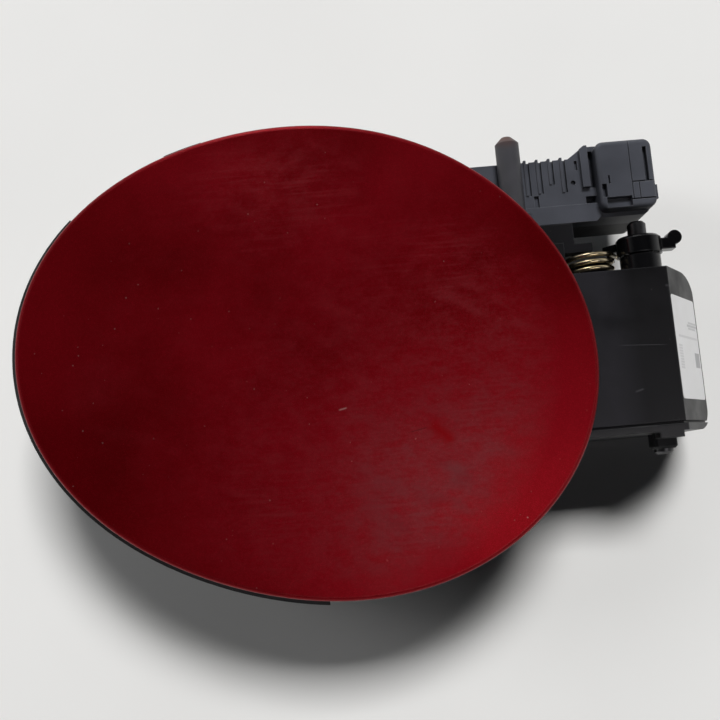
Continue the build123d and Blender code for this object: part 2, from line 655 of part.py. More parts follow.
def case_screw_places():
    x0 = CASE_X0 + CASE_WALL + SCREW_HEAD_R
    y0, y1 = CASE_Y0 + CASE_WALL + SCREW_HEAD_R, CASE_Y1 - CASE_WALL - SCREW_HEAD_R
    return [(x0 + 3 * SCREW_HEAD_R, y0), (x0 + 3 * SCREW_HEAD_R, y1)]


def case_screws():
    screws = []
    for x, y in case_screw_places():
        seat = CASE_Z - BASE_WALL
        head = rod_z(SCREW_HEAD_R, x, y, seat - SCREW_HEAD, seat)
        screws.append((head + rod_z(SCREW_R, x, y, seat, CASE_Z + SCREW_LENGTH / 2)).solid())
    return Compound(children=screws)


def case_block(inset, z0, z1):
    x0, x1, y0, y1 = CASE_X0 + inset, CASE_X1 - inset, CASE_Y0 + inset, CASE_Y1 - inset
    plan = Pos((x0 + x1) / 2, (y0 + y1) / 2) * RectangleRounded(x1 - x0, y1 - y0, CASE_CORNER_R - inset / 2)
    return along_z(plan, z0, z1)


def lower_case():
    bulge_r = MOTOR_R + BODY_GAP + CASE_WALL
    bulge_x = MOTOR_X - BODY_GAP - CASE_WALL
    worm_r = WORM_R + WHEEL_MODULE + BODY_GAP
    worm_x = 2 * GEAR_X - MOTOR_X
    case = case_block(0, CASE_Z, SPLIT_Z) + rod_x(bulge_r, WORM_Y, WORM_Z, bulge_x, CASE_X1)
    case += rod_x(worm_r + CASE_WALL, WORM_Y, WORM_Z, worm_x - CASE_WALL, bulge_x)
    case -= case_block(CASE_WALL, CASE_Z + CASE_WALL, SPLIT_Z + CUT_PAST)
    case -= rod_x(worm_r, WORM_Y, WORM_Z, worm_x, MOTOR_X)
    case -= rod_x(MOTOR_R + BODY_GAP, WORM_Y, WORM_Z, MOTOR_X - BODY_GAP, CASE_X1 - CASE_WALL)
    for x, y in case_screw_places():
        case += rod_z(SCREW_R + CASE_WALL, x, y, CASE_Z, CASE_Z + SCREW_LENGTH)
        case -= rod_z(SCREW_R + SEAT_GAP, x, y, CASE_Z - CUT_PAST, CASE_Z + SCREW_LENGTH - CASE_WALL)
    case += rod_z(AXLE_R + CASE_WALL, GEAR_X, GEAR_Y, CASE_Z, WORM_Z - WHEEL_WALL / 2 - BODY_GAP)
    return case - rod_z(AXLE_R + SEAT_GAP, GEAR_X, GEAR_Y, CASE_Z + CASE_WALL, WORM_Z)


def fin_places():
    first = BOLT_AXIS_X + BOLT_R + BODY_GAP + FIN_PITCH / 2
    base = CASE_Y0 + BAND_WIDTH
    return [(first + i * FIN_PITCH, base + start) for i, start in enumerate(FIN_STARTS)]


def cover_fins():
    fins = []
    for x, start in fin_places():
        fins.append(block(x - FIN_WALL, x, start, CASE_Y1 + FIN_BUMP, SPLIT_Z, COVER_Z + FIN_RISE))
    return fins


def cover_marks():
    deep, above = COVER_Z - FIN_DEPTH, COVER_Z + CUT_PAST
    places = fin_places()
    marks = [block(x, x + FIN_SLOT, start, CASE_Y1 + CUT_PAST, deep, above) for x, start in places]
    slot_x = (places[0][0] + places[1][0] - FIN_WALL) / 2
    slot_y = CASE_Y0 + BAND_WIDTH
    marks.append(block(slot_x, slot_x + 1.5 * FIN_SLOT, slot_y, slot_y + FIN_PITCH, deep, above))
    last_x = places[-1][0]
    short_x = last_x + FIN_PITCH
    marks.append(block(short_x, short_x + FIN_SLOT, CASE_Y1 - FIN_PITCH, CASE_Y1 - FIN_WALL, deep, above))
    marks.append(rod_z(EJECT_R, last_x + 3 * FIN_SLOT, places[2][1], deep, above))
    return marks


def cover_shoulder():
    left, right = RECESS_X - SHOULDER_LENGTH, PLUG_X0 + PLUG_EDGE_R
    plan = shape(
        (left, CASE_Y1 - CASE_CORNER_R),
        (left, CASE_Y1),
        (left + SHOULDER_SLOPE, PLUG_Y1),
        (right, PLUG_Y1),
        (right, CASE_Y1 - CASE_CORNER_R),
    )
    rib = block(RECESS_X - SHOULDER_RIB, RECESS_X, GEAR_Y, PLUG_Y1, COVER_Z, COVER_Z + SHOULDER_RISE)
    corner = shape((left, CASE_Y1), (left + SHOULDER_SLOPE, PLUG_Y1), (left, PLUG_Y1))
    rib -= along_z(corner, COVER_Z, PLUG_Z)
    return along_z(plan, SPLIT_Z, COVER_Z) + rib


def cover_recess():
    deep, above = COVER_Z - RECESS_DEPTH, PLUG_Z + CUT_PAST
    gap = block(RECESS_X, PLUG_X0, GEAR_Y, PLUG_Y1 - PLUG_WALL, deep, above)
    foot_y = CASE_Y0 + BAND_WIDTH
    return gap + block(RECESS_X - PLUG_WALL, PLUG_X0, foot_y, foot_y + SHOULDER_RIB, deep, above)


def plug_body():
    middle = Pos((PLUG_X0 + PLUG_X1) / 2, (PLUG_Y0 + PLUG_Y1) / 2)
    body = along_z(middle * RectangleRounded(PLUG_LENGTH, PLUG_WIDTH, PLUG_CORNER_R), SPLIT_Z, PLUG_Z)
    body = fillet(body.edges().group_by(Axis.Z)[-1], PLUG_EDGE_R)
    for u0, u1, v0, v1, depth in PLUG_CUTS:
        x0, x1 = PLUG_X0 + u0 * PLUG_LENGTH, PLUG_X0 + u1 * PLUG_LENGTH
        y0, y1 = PLUG_Y0 + v0 * PLUG_WIDTH, PLUG_Y0 + v1 * PLUG_WIDTH
        body -= block(x0, x1, y0, y1, PLUG_Z - depth, PLUG_Z + CUT_PAST)
    tab_y0, tab_y1 = PLUG_Y0 + PLUG_CORNER_R, PLUG_Y0 + PLUG_CORNER_R + PLUG_TAB_WIDTH
    tab_z0, tab_z1 = MOUTH_Z1 + PLUG_TAB, PLUG_Z - PLUG_EDGE_R
    return body + block(PLUG_X1 - PLUG_TAB, PLUG_X1 + PLUG_TAB, tab_y0, tab_y1, tab_z0, tab_z1)


def plug_mouth():
    y0, y1 = PLUG_Y0 + PLUG_CORNER_R, PLUG_Y1 - PLUG_CORNER_R
    return block(PLUG_X1 - PLUG_DEPTH, PLUG_X1 + CUT_PAST, y0, y1, MOUTH_Z0, MOUTH_Z1)


def actuator_cover():
    cover = case_block(0, SPLIT_Z, COVER_Z)
    band_x0, band_x1 = CASE_X0 + CASE_CORNER_R, PIVOT_X - BAND_TO_PIVOT
    band_y0, band_y1 = CASE_Y0 - BAND_LIP, CASE_Y0 + BAND_WIDTH
    slant = BAND_WIDTH / 3
    band = shape(
        (band_x0, band_y0),
        (band_x1 - slant, band_y0),
        (band_x1, band_y0 + slant),
        (band_x1, band_y1),
        (band_x0, band_y1),
    )
    cover += along_z(band, COVER_Z - BAND_DEPTH, COVER_Z + BAND_RISE)
    guide_y0 = CASE_Y0 - 2 * BAND_LIP
    guide_y1 = guide_y0 + GUIDE_LENGTH
    guide_r = BOLT_R + RUN_GAP + GUIDE_WALL
    cover += rod_y(guide_r, BOLT_AXIS_X, BOLT_AXIS_Z, guide_y0, guide_y1)
    for fin in cover_fins():
        cover += fin
    cover += cover_shoulder()
    cover += plug_body()
    cover -= cover_recess()
    cover -= plug_mouth()
    below = SPLIT_Z - CUT_PAST
    hollow_x = RECESS_X - 2 * PLUG_WALL
    hollow = case_block(CASE_WALL, below, COVER_Z - CASE_WALL)
    cover -= hollow & block(CASE_X0, hollow_x, CASE_Y0, CASE_Y1, below, COVER_Z)
    cover -= rod_y(BOLT_R + RUN_GAP, BOLT_AXIS_X, BOLT_AXIS_Z, guide_y0 - CUT_PAST, guide_y1)
    cover -= rod_y(BOLT_R + BODY_GAP, BOLT_AXIS_X, BOLT_AXIS_Z, guide_y1, PLUG_Y1)
    neck = BOLT_NECK / 2 + BODY_GAP
    neck_y0, neck_y1 = RACK_Y0 - BOLT_TRAVEL - BODY_GAP, RACK_Y1 + BODY_GAP
    cover -= block(BOLT_AXIS_X - neck, BOLT_AXIS_X + neck, neck_y0, neck_y1, SPLIT_Z, BOLT_AXIS_Z)
    axle_foot = RACK_Z + RACK_WALL + BODY_GAP
    cover += rod_z(AXLE_R + CASE_WALL, GEAR_X, GEAR_Y, axle_foot, COVER_Z - CASE_WALL / 2)
    cover -= rod_z(AXLE_R + SEAT_GAP, GEAR_X, GEAR_Y, below, COVER_Z - CASE_WALL)
    for mark in cover_marks():
        cover -= mark
    for x, y, z in terminal_places():
        half = TERMINAL_WALL / 2 + SEAT_GAP
        cover -= block(x - TERMINAL_ROOT - SEAT_GAP, PLUG_X1, y - half, y + half, z - half, z + half)
    return cover


def terminal_places():
    y = (PLUG_Y0 + PLUG_Y1) / 2
    z = (MOUTH_Z0 + MOUTH_Z1) / 2
    middle = (TERMINAL_COUNT - 1) / 2
    x = PLUG_X1 - PLUG_DEPTH
    return [(x, y + (i - middle) * TERMINAL_PITCH, z) for i in range(TERMINAL_COUNT)]


def plug_terminals():
    half = TERMINAL_WALL / 2
    pins = []
    for x, y, z in terminal_places():
        pin = block(x - TERMINAL_ROOT, x + TERMINAL_REACH, y - half, y + half, z - half, z + half)
        pins.append(pin.solid())
    return Compound(children=pins)


def drive_motor():
    can = rod_x(MOTOR_R, WORM_Y, WORM_Z, MOTOR_X, MOTOR_X + MOTOR_LENGTH)
    can = fillet(can.edges(), MOTOR_EDGE_R)
    bore = MOTOR_X + MOTOR_SHAFT_SINK + BODY_GAP
    return can - rod_x(MOTOR_SHAFT_R + RUN_GAP, WORM_Y, WORM_Z, MOTOR_X - CUT_PAST, bore)


def tooth(module):
    half = math.pi * module / 4 - TOOTH_PLAY / 2
    foot, tip = -(TOOTH_ROOT + TOOTH_SINK) * module, TOOTH_TIP * module
    wide, slim = half + TOOTH_FLARE * module, half - TOOTH_TAPER * module
    return shape((foot, -wide), (0, -half), (tip, -slim), (tip, slim), (0, half), (foot, wide))


def motor_worm():
    lead = math.pi * WHEEL_MODULE
    core = WORM_R - TOOTH_ROOT * WHEEL_MODULE
    start = GEAR_X - WORM_TURNS * lead / 2
    helix = Helix(pitch=lead, height=WORM_TURNS * lead, radius=WORM_R)
    section = Plane(origin=helix @ 0, x_dir=(1, 0, 0), z_dir=helix % 0) * tooth(WHEEL_MODULE)
    turned = Pos(start, WORM_Y, WORM_Z) * Rot(0, 90, 0) * Rot(0, 0, 180)
    thread = turned * sweep(section, path=helix, is_frenet=True)
    shaft = rod_x(core, WORM_Y, WORM_Z, start - lead, start + (WORM_TURNS + 1) * lead)
    shaft += rod_x(MOTOR_SHAFT_R, WORM_Y, WORM_Z, start, MOTOR_X + MOTOR_SHAFT_SINK)
    return shaft + thread


def gear_face(module, teeth, phase):
    pitch_r = module * teeth / 2
    face = Circle(pitch_r - TOOTH_ROOT * module)
    for i in range(teeth):
        face += Rot(0, 0, phase + 360 * i / teeth) * Pos(pitch_r, 0) * tooth(module)
    return Pos(GEAR_X, GEAR_Y) * face


def drive_gear():
    wheel = gear_face(WHEEL_MODULE, WHEEL_TEETH, 270 + 180 / WHEEL_TEETH)
    pinion = gear_face(RACK_MODULE, PINION_TEETH, 180)
    bottom = WORM_Z - WHEEL_WALL / 2
    gear = along_z(wheel, bottom, bottom + WHEEL_WALL)
    gear += along_z(pinion, bottom + WHEEL_WALL, RACK_Z + RACK_WALL)
    top = RACK_Z + RACK_WALL + CUT_PAST
    return gear - rod_z(AXLE_R + RUN_GAP, GEAR_X, GEAR_Y, bottom - CUT_PAST, top)


def gear_axle():
    return rod_z(AXLE_R, GEAR_X, GEAR_Y, CASE_Z + CASE_WALL, COVER_Z - CASE_WALL)


def lock_bolt():
    y0, y1 = STRIKER_Y + STRIKER_GAP, CASE_Y1 + BOLT_TIP_REACH
    bolt = rod_y(BOLT_R, BOLT_AXIS_X, BOLT_AXIS_Z, y0, y1)
    ends = bolt.edges().filter_by(GeomType.CIRCLE).group_by(Axis.Y)
    bolt = chamfer(ends[0], BOLT_LEAD)
    tip = bolt.edges().filter_by(GeomType.CIRCLE).group_by(Axis.Y)[-1]
    bolt = chamfer(tip, BOLT_TIP_CONE)
    nose = bolt.edges().filter_by(GeomType.CIRCLE).group_by(Axis.Y)[-1]
    bolt = fillet(nose, BOLT_TIP_ROUND)
    back = BOLT_AXIS_X - BOLT_NECK / 2
    front = RACK_X - TOOTH_ROOT * RACK_MODULE
    bolt += block(back, back + BOLT_NECK, RACK_Y0, RACK_Y1, RACK_Z + RACK_WALL, BOLT_AXIS_Z)
    bolt += block(back, front, RACK_Y0, RACK_Y1, RACK_Z, RACK_Z + RACK_WALL)
    pitch = math.pi * RACK_MODULE
    count = int((RACK_Y1 - RACK_Y0) / pitch) + 1
    teeth = Sketch()
    for i in range(-count, count + 1):
        teeth += Pos(RACK_X, GEAR_Y + (i + 0.5) * pitch) * tooth(RACK_MODULE)
    rack = along_z(teeth, RACK_Z, RACK_Z + RACK_WALL)
    return bolt + (rack & block(back, GEAR_X, RACK_Y0, RACK_Y1, RACK_Z, RACK_Z + RACK_WALL))


PIECES = {
    "door_skin": door_skin,
    "door_carrier": door_carrier,
    "edge_seal": edge_seal,
    "door_screws": door_screws,
    "lock_striker": lock_striker,
    "hinge_arm": hinge_arm,
    "hinge_pin": hinge_pin,
    "pin_retainer": pin_retainer,
    "crank_collar": crank_collar,
    "hinge_bushes": hinge_bushes,
    "hinge_box": hinge_box,
    "hinge_cap": hinge_cap,
    "bump_stops": bump_stops,
    "paper_label": paper_label,
    "torsion_spring": torsion_spring,
    "actuator_bracket": actuator_bracket,
    "bracket_screws": bracket_screws,
    "case_screws": case_screws,
    "lower_case": lower_case,
    "actuator_cover": actuator_cover,
    "plug_terminals": plug_terminals,
    "drive_motor": drive_motor,
    "motor_worm": motor_worm,
    "drive_gear": drive_gear,
    "gear_axle": gear_axle,
    "lock_bolt": lock_bolt,
}

os.makedirs("parts", exist_ok=True)
for name, make in PIECES.items():
    export_step(make(), f"parts/{name}.step")
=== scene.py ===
import bmesh
import bpy
import math
from mathutils import Matrix, Vector


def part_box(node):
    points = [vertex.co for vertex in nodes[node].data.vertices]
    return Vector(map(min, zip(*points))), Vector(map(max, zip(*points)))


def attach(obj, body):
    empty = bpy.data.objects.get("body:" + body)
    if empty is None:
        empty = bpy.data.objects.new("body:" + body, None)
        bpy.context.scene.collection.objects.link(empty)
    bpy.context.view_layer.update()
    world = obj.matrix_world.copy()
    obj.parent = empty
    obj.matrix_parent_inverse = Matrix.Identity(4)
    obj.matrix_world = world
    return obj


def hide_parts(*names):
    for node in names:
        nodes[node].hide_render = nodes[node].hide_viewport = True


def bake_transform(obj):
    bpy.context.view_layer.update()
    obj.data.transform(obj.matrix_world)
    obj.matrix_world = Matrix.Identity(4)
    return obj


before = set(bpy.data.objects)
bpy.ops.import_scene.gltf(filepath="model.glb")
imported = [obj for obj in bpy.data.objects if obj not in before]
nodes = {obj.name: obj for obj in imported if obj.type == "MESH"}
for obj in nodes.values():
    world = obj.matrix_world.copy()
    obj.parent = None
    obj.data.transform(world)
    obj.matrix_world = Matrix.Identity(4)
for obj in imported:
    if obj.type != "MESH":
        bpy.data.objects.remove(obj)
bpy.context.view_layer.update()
mm = 0.001
weld = 1e-6  # points closer than this are one
print("frame loaded,", len(nodes), "nodes")


# node helpers
def addNode(tree, kind, inputs=None, **settings):
    node = tree.nodes.new(kind)
    for key, value in settings.items():
        setattr(node, key, value)
    for key, value in (inputs or {}).items():
        if isinstance(value, bpy.types.NodeSocket):
            tree.links.new(value, node.inputs[key])
        else:
            node.inputs[key].default_value = value
    return node


def math2(tree, operation, a, b=0.0, clamp=False):
    return addNode(tree, "ShaderNodeMath", {0: a, 1: b}, operation=operation, use_clamp=clamp).outputs[0]


def product(tree, first, *others, clamp=False):
    for other in others:
        first = math2(tree, "MULTIPLY", first, other, clamp)
    return first


def total(tree, first, *others, clamp=False):
    for other in others:
        first = math2(tree, "ADD", first, other, clamp)
    return first


def ramp(tree, value, low, high, lowTo=0.0, highTo=1.0):
    inputs = {"Value": value, "From Min": low, "From Max": high, "To Min": lowTo, "To Max": highTo}
    return addNode(tree, "ShaderNodeMapRange", inputs, clamp=True).outputs["Result"]


def mixColour(tree, factor, a, b):
    inputs = {"Factor": factor, 6: a, 7: b}  # 6 and 7 are the node's two colours
    return addNode(tree, "ShaderNodeMix", inputs, data_type="RGBA").outputs[2]


def rgba(colour):
    return (*colour, 1.0)


def axesOf(tree, vector):
    return addNode(tree, "ShaderNodeSeparateXYZ", {"Vector": vector}).outputs


def stretched(tree, vector, scale, turn):
    inputs = {"Vector": vector, "Scale": scale, "Rotation": turn}
    return addNode(tree, "ShaderNodeMapping", inputs).outputs["Vector"]


def nearness(tree, place, spot):  # 1 at a point, 0 past a radius
    inputs = {0: place, 1: spot["middle"]}
    far = addNode(tree, "ShaderNodeVectorMath", inputs, operation="DISTANCE").outputs["Value"]
    return ramp(tree, far, 0.0, spot["radius"], 1.0, 0.0)


fullShare = 0.6  # share of a mark's half length that is at full strength


def scratchMask(tree, place, mark):  # a short straight mark that fades at its ends and sides
    inputs = {0: place, 1: mark["middle"]}
    local = addNode(tree, "ShaderNodeVectorMath", inputs, operation="SUBTRACT").outputs["Vector"]
    inputs = {"Vector": local, "Angle": mark["turn"]}
    turned = addNode(tree, "ShaderNodeVectorRotate", inputs, rotation_type="Z_AXIS").outputs["Vector"]
    axes = axesOf(tree, turned)
    halfLong, halfWide = mark["half"]
    along = ramp(tree, math2(tree, "ABSOLUTE", axes["X"]), fullShare * halfLong, halfLong, 1.0, 0.0)
    across = ramp(tree, math2(tree, "ABSOLUTE", axes["Y"]), 0.0, halfWide, 1.0, 0.0)
    return product(tree, along, across)


# shared effects, each a node group
def startGroup(name, inputs, outputs):
    tree = bpy.data.node_groups.new(name, "ShaderNodeTree")
    for label, value in inputs.items():
        kind = "NodeSocketVector" if value is None else "NodeSocketFloat"
        socket = tree.interface.new_socket(label, in_out="INPUT", socket_type=kind)
        if value is not None:
            socket.default_value = value
    for label, kind in outputs.items():
        tree.interface.new_socket(label, in_out="OUTPUT", socket_type=kind)
    return tree, tree.nodes.new("NodeGroupInput"), tree.nodes.new("NodeGroupOutput")


dustLook = dict(wobbleScale=2.6, wobble=0.0005, chance=(0.82, 1.0), sharp=16.0,
                patchAt=(0.42, 0.62), patchShare=(0.15, 1.0))


def makeDust():
    look = dustLook
    inputs = {"Vector": None, "Scale": 700.0, "Amount": 0.2, "Patch": 40.0}
    tree, start, end = startGroup("dustFlecks", inputs, {"Mask": "NodeSocketFloat"})
    place, scale = start.outputs["Vector"], start.outputs["Scale"]
    finer = product(tree, scale, look["wobbleScale"])
    wobble = addNode(tree, "ShaderNodeTexNoise", {"Vector": place, "Scale": finer}).outputs["Color"]
    inputs = {0: wobble, 1: (look["wobble"],) * 3, 2: place}
    bent = addNode(tree, "ShaderNodeVectorMath", inputs, operation="MULTIPLY_ADD").outputs["Vector"]
    cells = addNode(tree, "ShaderNodeTexVoronoi", {"Vector": bent, "Scale": scale})
    luck = addNode(tree, "ShaderNodeSeparateColor", {"Color": cells.outputs["Color"]}).outputs["Red"]
    lucky = ramp(tree, luck, *look["chance"])  # only some cells hold a fleck
    radius = product(tree, lucky, start.outputs["Amount"])
    inside = math2(tree, "SUBTRACT", radius, cells.outputs["Distance"])
    fleck = product(tree, inside, look["sharp"], clamp=True)
    patch = addNode(tree, "ShaderNodeTexNoise", {"Vector": place, "Scale": start.outputs["Patch"]})
    where = ramp(tree, patch.outputs["Fac"], *look["patchAt"], *look["patchShare"])
    tree.links.new(product(tree, fleck, where), end.inputs["Mask"])
    return tree


grainLook = dict(
    Height=dict(scale="Scale", detail=3.0, rough=0.6),
    Cloud=dict(scale="Cloud Scale", detail=4.0, rough=0.55),
)


def makeGrain():
    inputs = {"Vector": None, "Scale": 2500.0, "Cloud Scale": 35.0}
    tree, start, end = startGroup("mouldGrain", inputs, {label: "NodeSocketFloat" for label in grainLook})
    for label, look in grainLook.items():
        inputs = {"Vector": start.outputs["Vector"], "Scale": start.outputs[look["scale"]],
                  "Detail": look["detail"], "Roughness": look["rough"]}
        tree.links.new(addNode(tree, "ShaderNodeTexNoise", inputs).outputs["Fac"], end.inputs[label])
    return tree


edgeLook = dict(samples=6, facing=(0.995, 0.93))


def makeEdge():
    outputs = {"Mask": "NodeSocketFloat", "Normal": "NodeSocketVector"}
    tree, start, end = startGroup("edgeWear", {"Radius": 0.0004}, outputs)
    inputs = {"Radius": start.outputs["Radius"]}
    soft = addNode(tree, "ShaderNodeBevel", inputs, samples=edgeLook["samples"]).outputs["Normal"]
    plain = addNode(tree, "ShaderNodeNewGeometry").outputs["Normal"]
    inputs = {0: soft, 1: plain}
    facing = addNode(tree, "ShaderNodeVectorMath", inputs, operation="DOT_PRODUCT").outputs["Value"]
    tree.links.new(ramp(tree, facing, *edgeLook["facing"]), end.inputs["Mask"])
    tree.links.new(soft, end.inputs["Normal"])
    return tree


rubLook = dict(detail=6.0, linesAt=(0.5, 0.68), spotScale=22.0, spotDetail=2.0, spotsAt=(0.44, 0.66))


def makeRub():
    look = rubLook
    inputs = {"Vector": None, "Scale": 60.0, "Stretch": 0.05}
    tree, start, end = startGroup("rubMarks", inputs, {"Mask": "NodeSocketFloat"})
    place = start.outputs["Vector"]
    length = addNode(tree, "ShaderNodeCombineXYZ", {"X": start.outputs["Stretch"], "Y": 1.0, "Z": 1.0})
    inputs = {0: place, 1: length.outputs["Vector"]}
    drawn = addNode(tree, "ShaderNodeVectorMath", inputs, operation="MULTIPLY").outputs["Vector"]
    inputs = {"Vector": drawn, "Scale": start.outputs["Scale"], "Detail": look["detail"]}
    lines = addNode(tree, "ShaderNodeTexNoise", inputs).outputs["Fac"]
    inputs = {"Vector": place, "Scale": look["spotScale"], "Detail": look["spotDetail"]}
    spots = addNode(tree, "ShaderNodeTexNoise", inputs).outputs["Fac"]
    mask = product(tree, ramp(tree, lines, *look["linesAt"]), ramp(tree, spots, *look["spotsAt"]))
    tree.links.new(mask, end.inputs["Mask"])
    return tree


groups = {"dust": makeDust(), "grain": makeGrain(), "edge": makeEdge(), "rub": makeRub()}


def useGroup(tree, name, inputs):
    return addNode(tree, "ShaderNodeGroup", inputs, node_tree=groups[name]).outputs


def useGrain(tree, place, look):
    return useGroup(tree, "grain", {"Vector": place, "Scale": look["grain"], "Cloud Scale": look["cloud"]})


def startMaterial(name, plain):
    material = bpy.data.materials.new(name)
    material.use_nodes = True
    tree = material.node_tree
    shader = tree.nodes["Principled BSDF"]
    for key, value in plain.items():
        shader.inputs[key].default_value = value
    place = addNode(tree, "ShaderNodeTexCoord").outputs["Object"]
    return material, tree, shader, place


def bump(tree, shader, height, look, normal):
    inputs = {"Height": height, "Strength": look["relief"], "Distance": look["depth"]}
    if normal is not None:
        inputs["Normal"] = normal
    tree.links.new(addNode(tree, "ShaderNodeBump", inputs).outputs["Normal"], shader.inputs["Normal"])


print("shared effects ready")


# moulded plastics: one recipe, each with its own values
plasticRecipe = dict(
    ior=1.47, shine=0.5, shade=0.72, cloudAt=(0.35, 0.65),
    wearAt=(0.4, 0.62), wearShare=(0.1, 0.6), roughAt=(0.3, 0.7), relief=0.5,
    dustColour=(0.26, 0.25, 0.24), dustShare=0.5, dustRough=0.3,
)
plasticLooks = {
    "boxPlastic": dict(
        colour=(0.0042, 0.0042, 0.0048), edgeTone=(0.045, 0.045, 0.047), rough=(0.27, 0.52), grain=1900, cloud=70,
        depth=0.00002, dust=0.13, dustScale=800, edge=0.0007, shine=0.26),
    "capPlastic": dict(
        colour=(0.0048, 0.0048, 0.0054), edgeTone=(0.05, 0.05, 0.052), rough=(0.36, 0.52), grain=1900, cloud=60,
        depth=0.00002, dust=0.13, dustScale=800, edge=0.0009),
    "armPlastic": dict(
        colour=(0.009, 0.009, 0.010), edgeTone=(0.05, 0.05, 0.05), rough=(0.48, 0.66), grain=1500, cloud=35,
        depth=0.00004, dust=0.13, dustScale=800, edge=0.0005),
    "coverPlastic": dict(
        colour=(0.052, 0.056, 0.069), edgeTone=(0.13, 0.135, 0.15), rough=(0.46, 0.62), grain=2600, cloud=60,
        depth=0.00003, dust=0.12, dustScale=900, edge=0.0003),
    "bracketPlastic": dict(
        colour=(0.0055, 0.0055, 0.0065), edgeTone=(0.05, 0.05, 0.055), rough=(0.42, 0.6), grain=2200, cloud=45,
        depth=0.00003, dust=0.12, dustScale=900, edge=0.0004, shine=0.25),
    "collarPlastic": dict(
        colour=(0.0022, 0.0022, 0.0026), edgeTone=(0.03, 0.03, 0.032), rough=(0.13, 0.24), grain=1200, cloud=90,
        depth=0.00001, dust=0.09, dustScale=1000, edge=0.0006, shine=0.4),
    "boltPlastic": dict(
        colour=(0.050, 0.050, 0.057), edgeTone=(0.17, 0.16, 0.15), rough=(0.42, 0.6), grain=2400, cloud=80,
        depth=0.00003, dust=0.12, dustScale=900, edge=0.0004),
    "gearAcetal": dict(
        colour=(0.70, 0.69, 0.63), edgeTone=(0.76, 0.74, 0.68), rough=(0.34, 0.46), grain=1800, cloud=60,
        depth=0.00001, dust=0.1, dustScale=900, edge=0.0002),
    "bushAcetal": dict(
        colour=(0.05, 0.05, 0.052), edgeTone=(0.12, 0.12, 0.12), rough=(0.3, 0.42), grain=1800, cloud=60,
        depth=0.00001, dust=0.1, dustScale=900, edge=0.0002),
}
stainLook = dict(  # rust on the bolt's tip
    middle=(-0.0530, 0.0742, 0.0448), radius=0.0058, colour=(0.085, 0.030, 0.018), strength=1.3,
    cloudAt=(0.36, 0.56), cloudShare=(0.25, 1.0),
)
lidSheen = dict(  # painted sheen: the side of the lid beside the door is drawn lighter
    fromX=-0.0195, toX=-0.0285, colour=(0.0125, 0.0122, 0.0150), cloudAt=(0.35, 0.6), cloudShare=(0.5, 1.0),
)
scuffLook = dict(colour=(0.06, 0.06, 0.065), strength=0.5, marks=[
    dict(middle=(-0.0188, 0.0015, 0.0505), half=(0.0082, 0.00017), turn=0.068),
    dict(middle=(-0.0215, -0.0125, 0.0505), half=(0.0016, 0.0004), turn=-0.25),
    dict(middle=(-0.0085, 0.0195, 0.0505), half=(0.0012, 0.0005), turn=0.1),
])
bossShine = dict(fromY=0.0262, toY=0.0270, share=0.5)  # the boss is rubbed shiny by the collar


def boltStain(tree, place, grain, body):
    look = stainLook
    patchy = ramp(tree, grain["Cloud"], *look["cloudAt"], *look["cloudShare"])
    stain = product(tree, nearness(tree, place, look), patchy)
    return mixColour(tree, product(tree, stain, look["strength"], clamp=True), body, rgba(look["colour"]))


def lidSheenAndScuffs(tree, place, grain, body):
    look = lidSheen
    # painted sheen: lighter grey towards the door side of the lid, mottled by the cloud noise
    paleShare = ramp(tree, axesOf(tree, place)["X"], look["fromX"], look["toX"])
    paleShare = product(tree, paleShare, ramp(tree, grain["Cloud"], *look["cloudAt"], *look["cloudShare"]))
    body = mixColour(tree, paleShare, body, rgba(look["colour"]))
    for mark in scuffLook["marks"]:
        mask = product(tree, scratchMask(tree, place, mark), scuffLook["strength"])
        body = mixColour(tree, mask, body, rgba(scuffLook["colour"]))
    return body


def rubbedBoss(tree, place, rough):
    look = bossShine
    share = ramp(tree, axesOf(tree, place)["Y"], look["fromY"], look["toY"], 1.0, look["share"])
    return product(tree, rough, share)


def mouldedPlastic(name):
    look = {**plasticRecipe, **plasticLooks[name]}
    plain = {"IOR": look["ior"], "Specular IOR Level": look["shine"]}
    material, tree, shader, place = startMaterial(name, plain)
    grain = useGrain(tree, place, look)
    dust = useGroup(tree, "dust", {"Vector": place, "Scale": look["dustScale"], "Amount": look["dust"]})
    edge = useGroup(tree, "edge", {"Radius": look["edge"]})
    dark = tuple(c * look["shade"] for c in look["colour"])
    body = mixColour(tree, ramp(tree, grain["Cloud"], *look["cloudAt"]), rgba(dark), rgba(look["colour"]))
    wear = product(tree, edge["Mask"], ramp(tree, grain["Cloud"], *look["wearAt"], *look["wearShare"]))
    body = mixColour(tree, wear, body, rgba(look["edgeTone"]))
    rough = ramp(tree, grain["Cloud"], *look["roughAt"], *look["rough"])
    if name == "boltPlastic":
        body = boltStain(tree, place, grain, body)
    if name == "boxPlastic":
        body = lidSheenAndScuffs(tree, place, grain, body)
        rough = rubbedBoss(tree, place, rough)
    dusty = product(tree, dust["Mask"], look["dustShare"])
    tree.links.new(mixColour(tree, dusty, body, rgba(look["dustColour"])), shader.inputs["Base Color"])
    rough = total(tree, rough, product(tree, dust["Mask"], look["dustRough"]), clamp=True)
    tree.links.new(rough, shader.inputs["Roughness"])
    bump(tree, shader, grain["Height"], look, edge["Normal"])
    return material


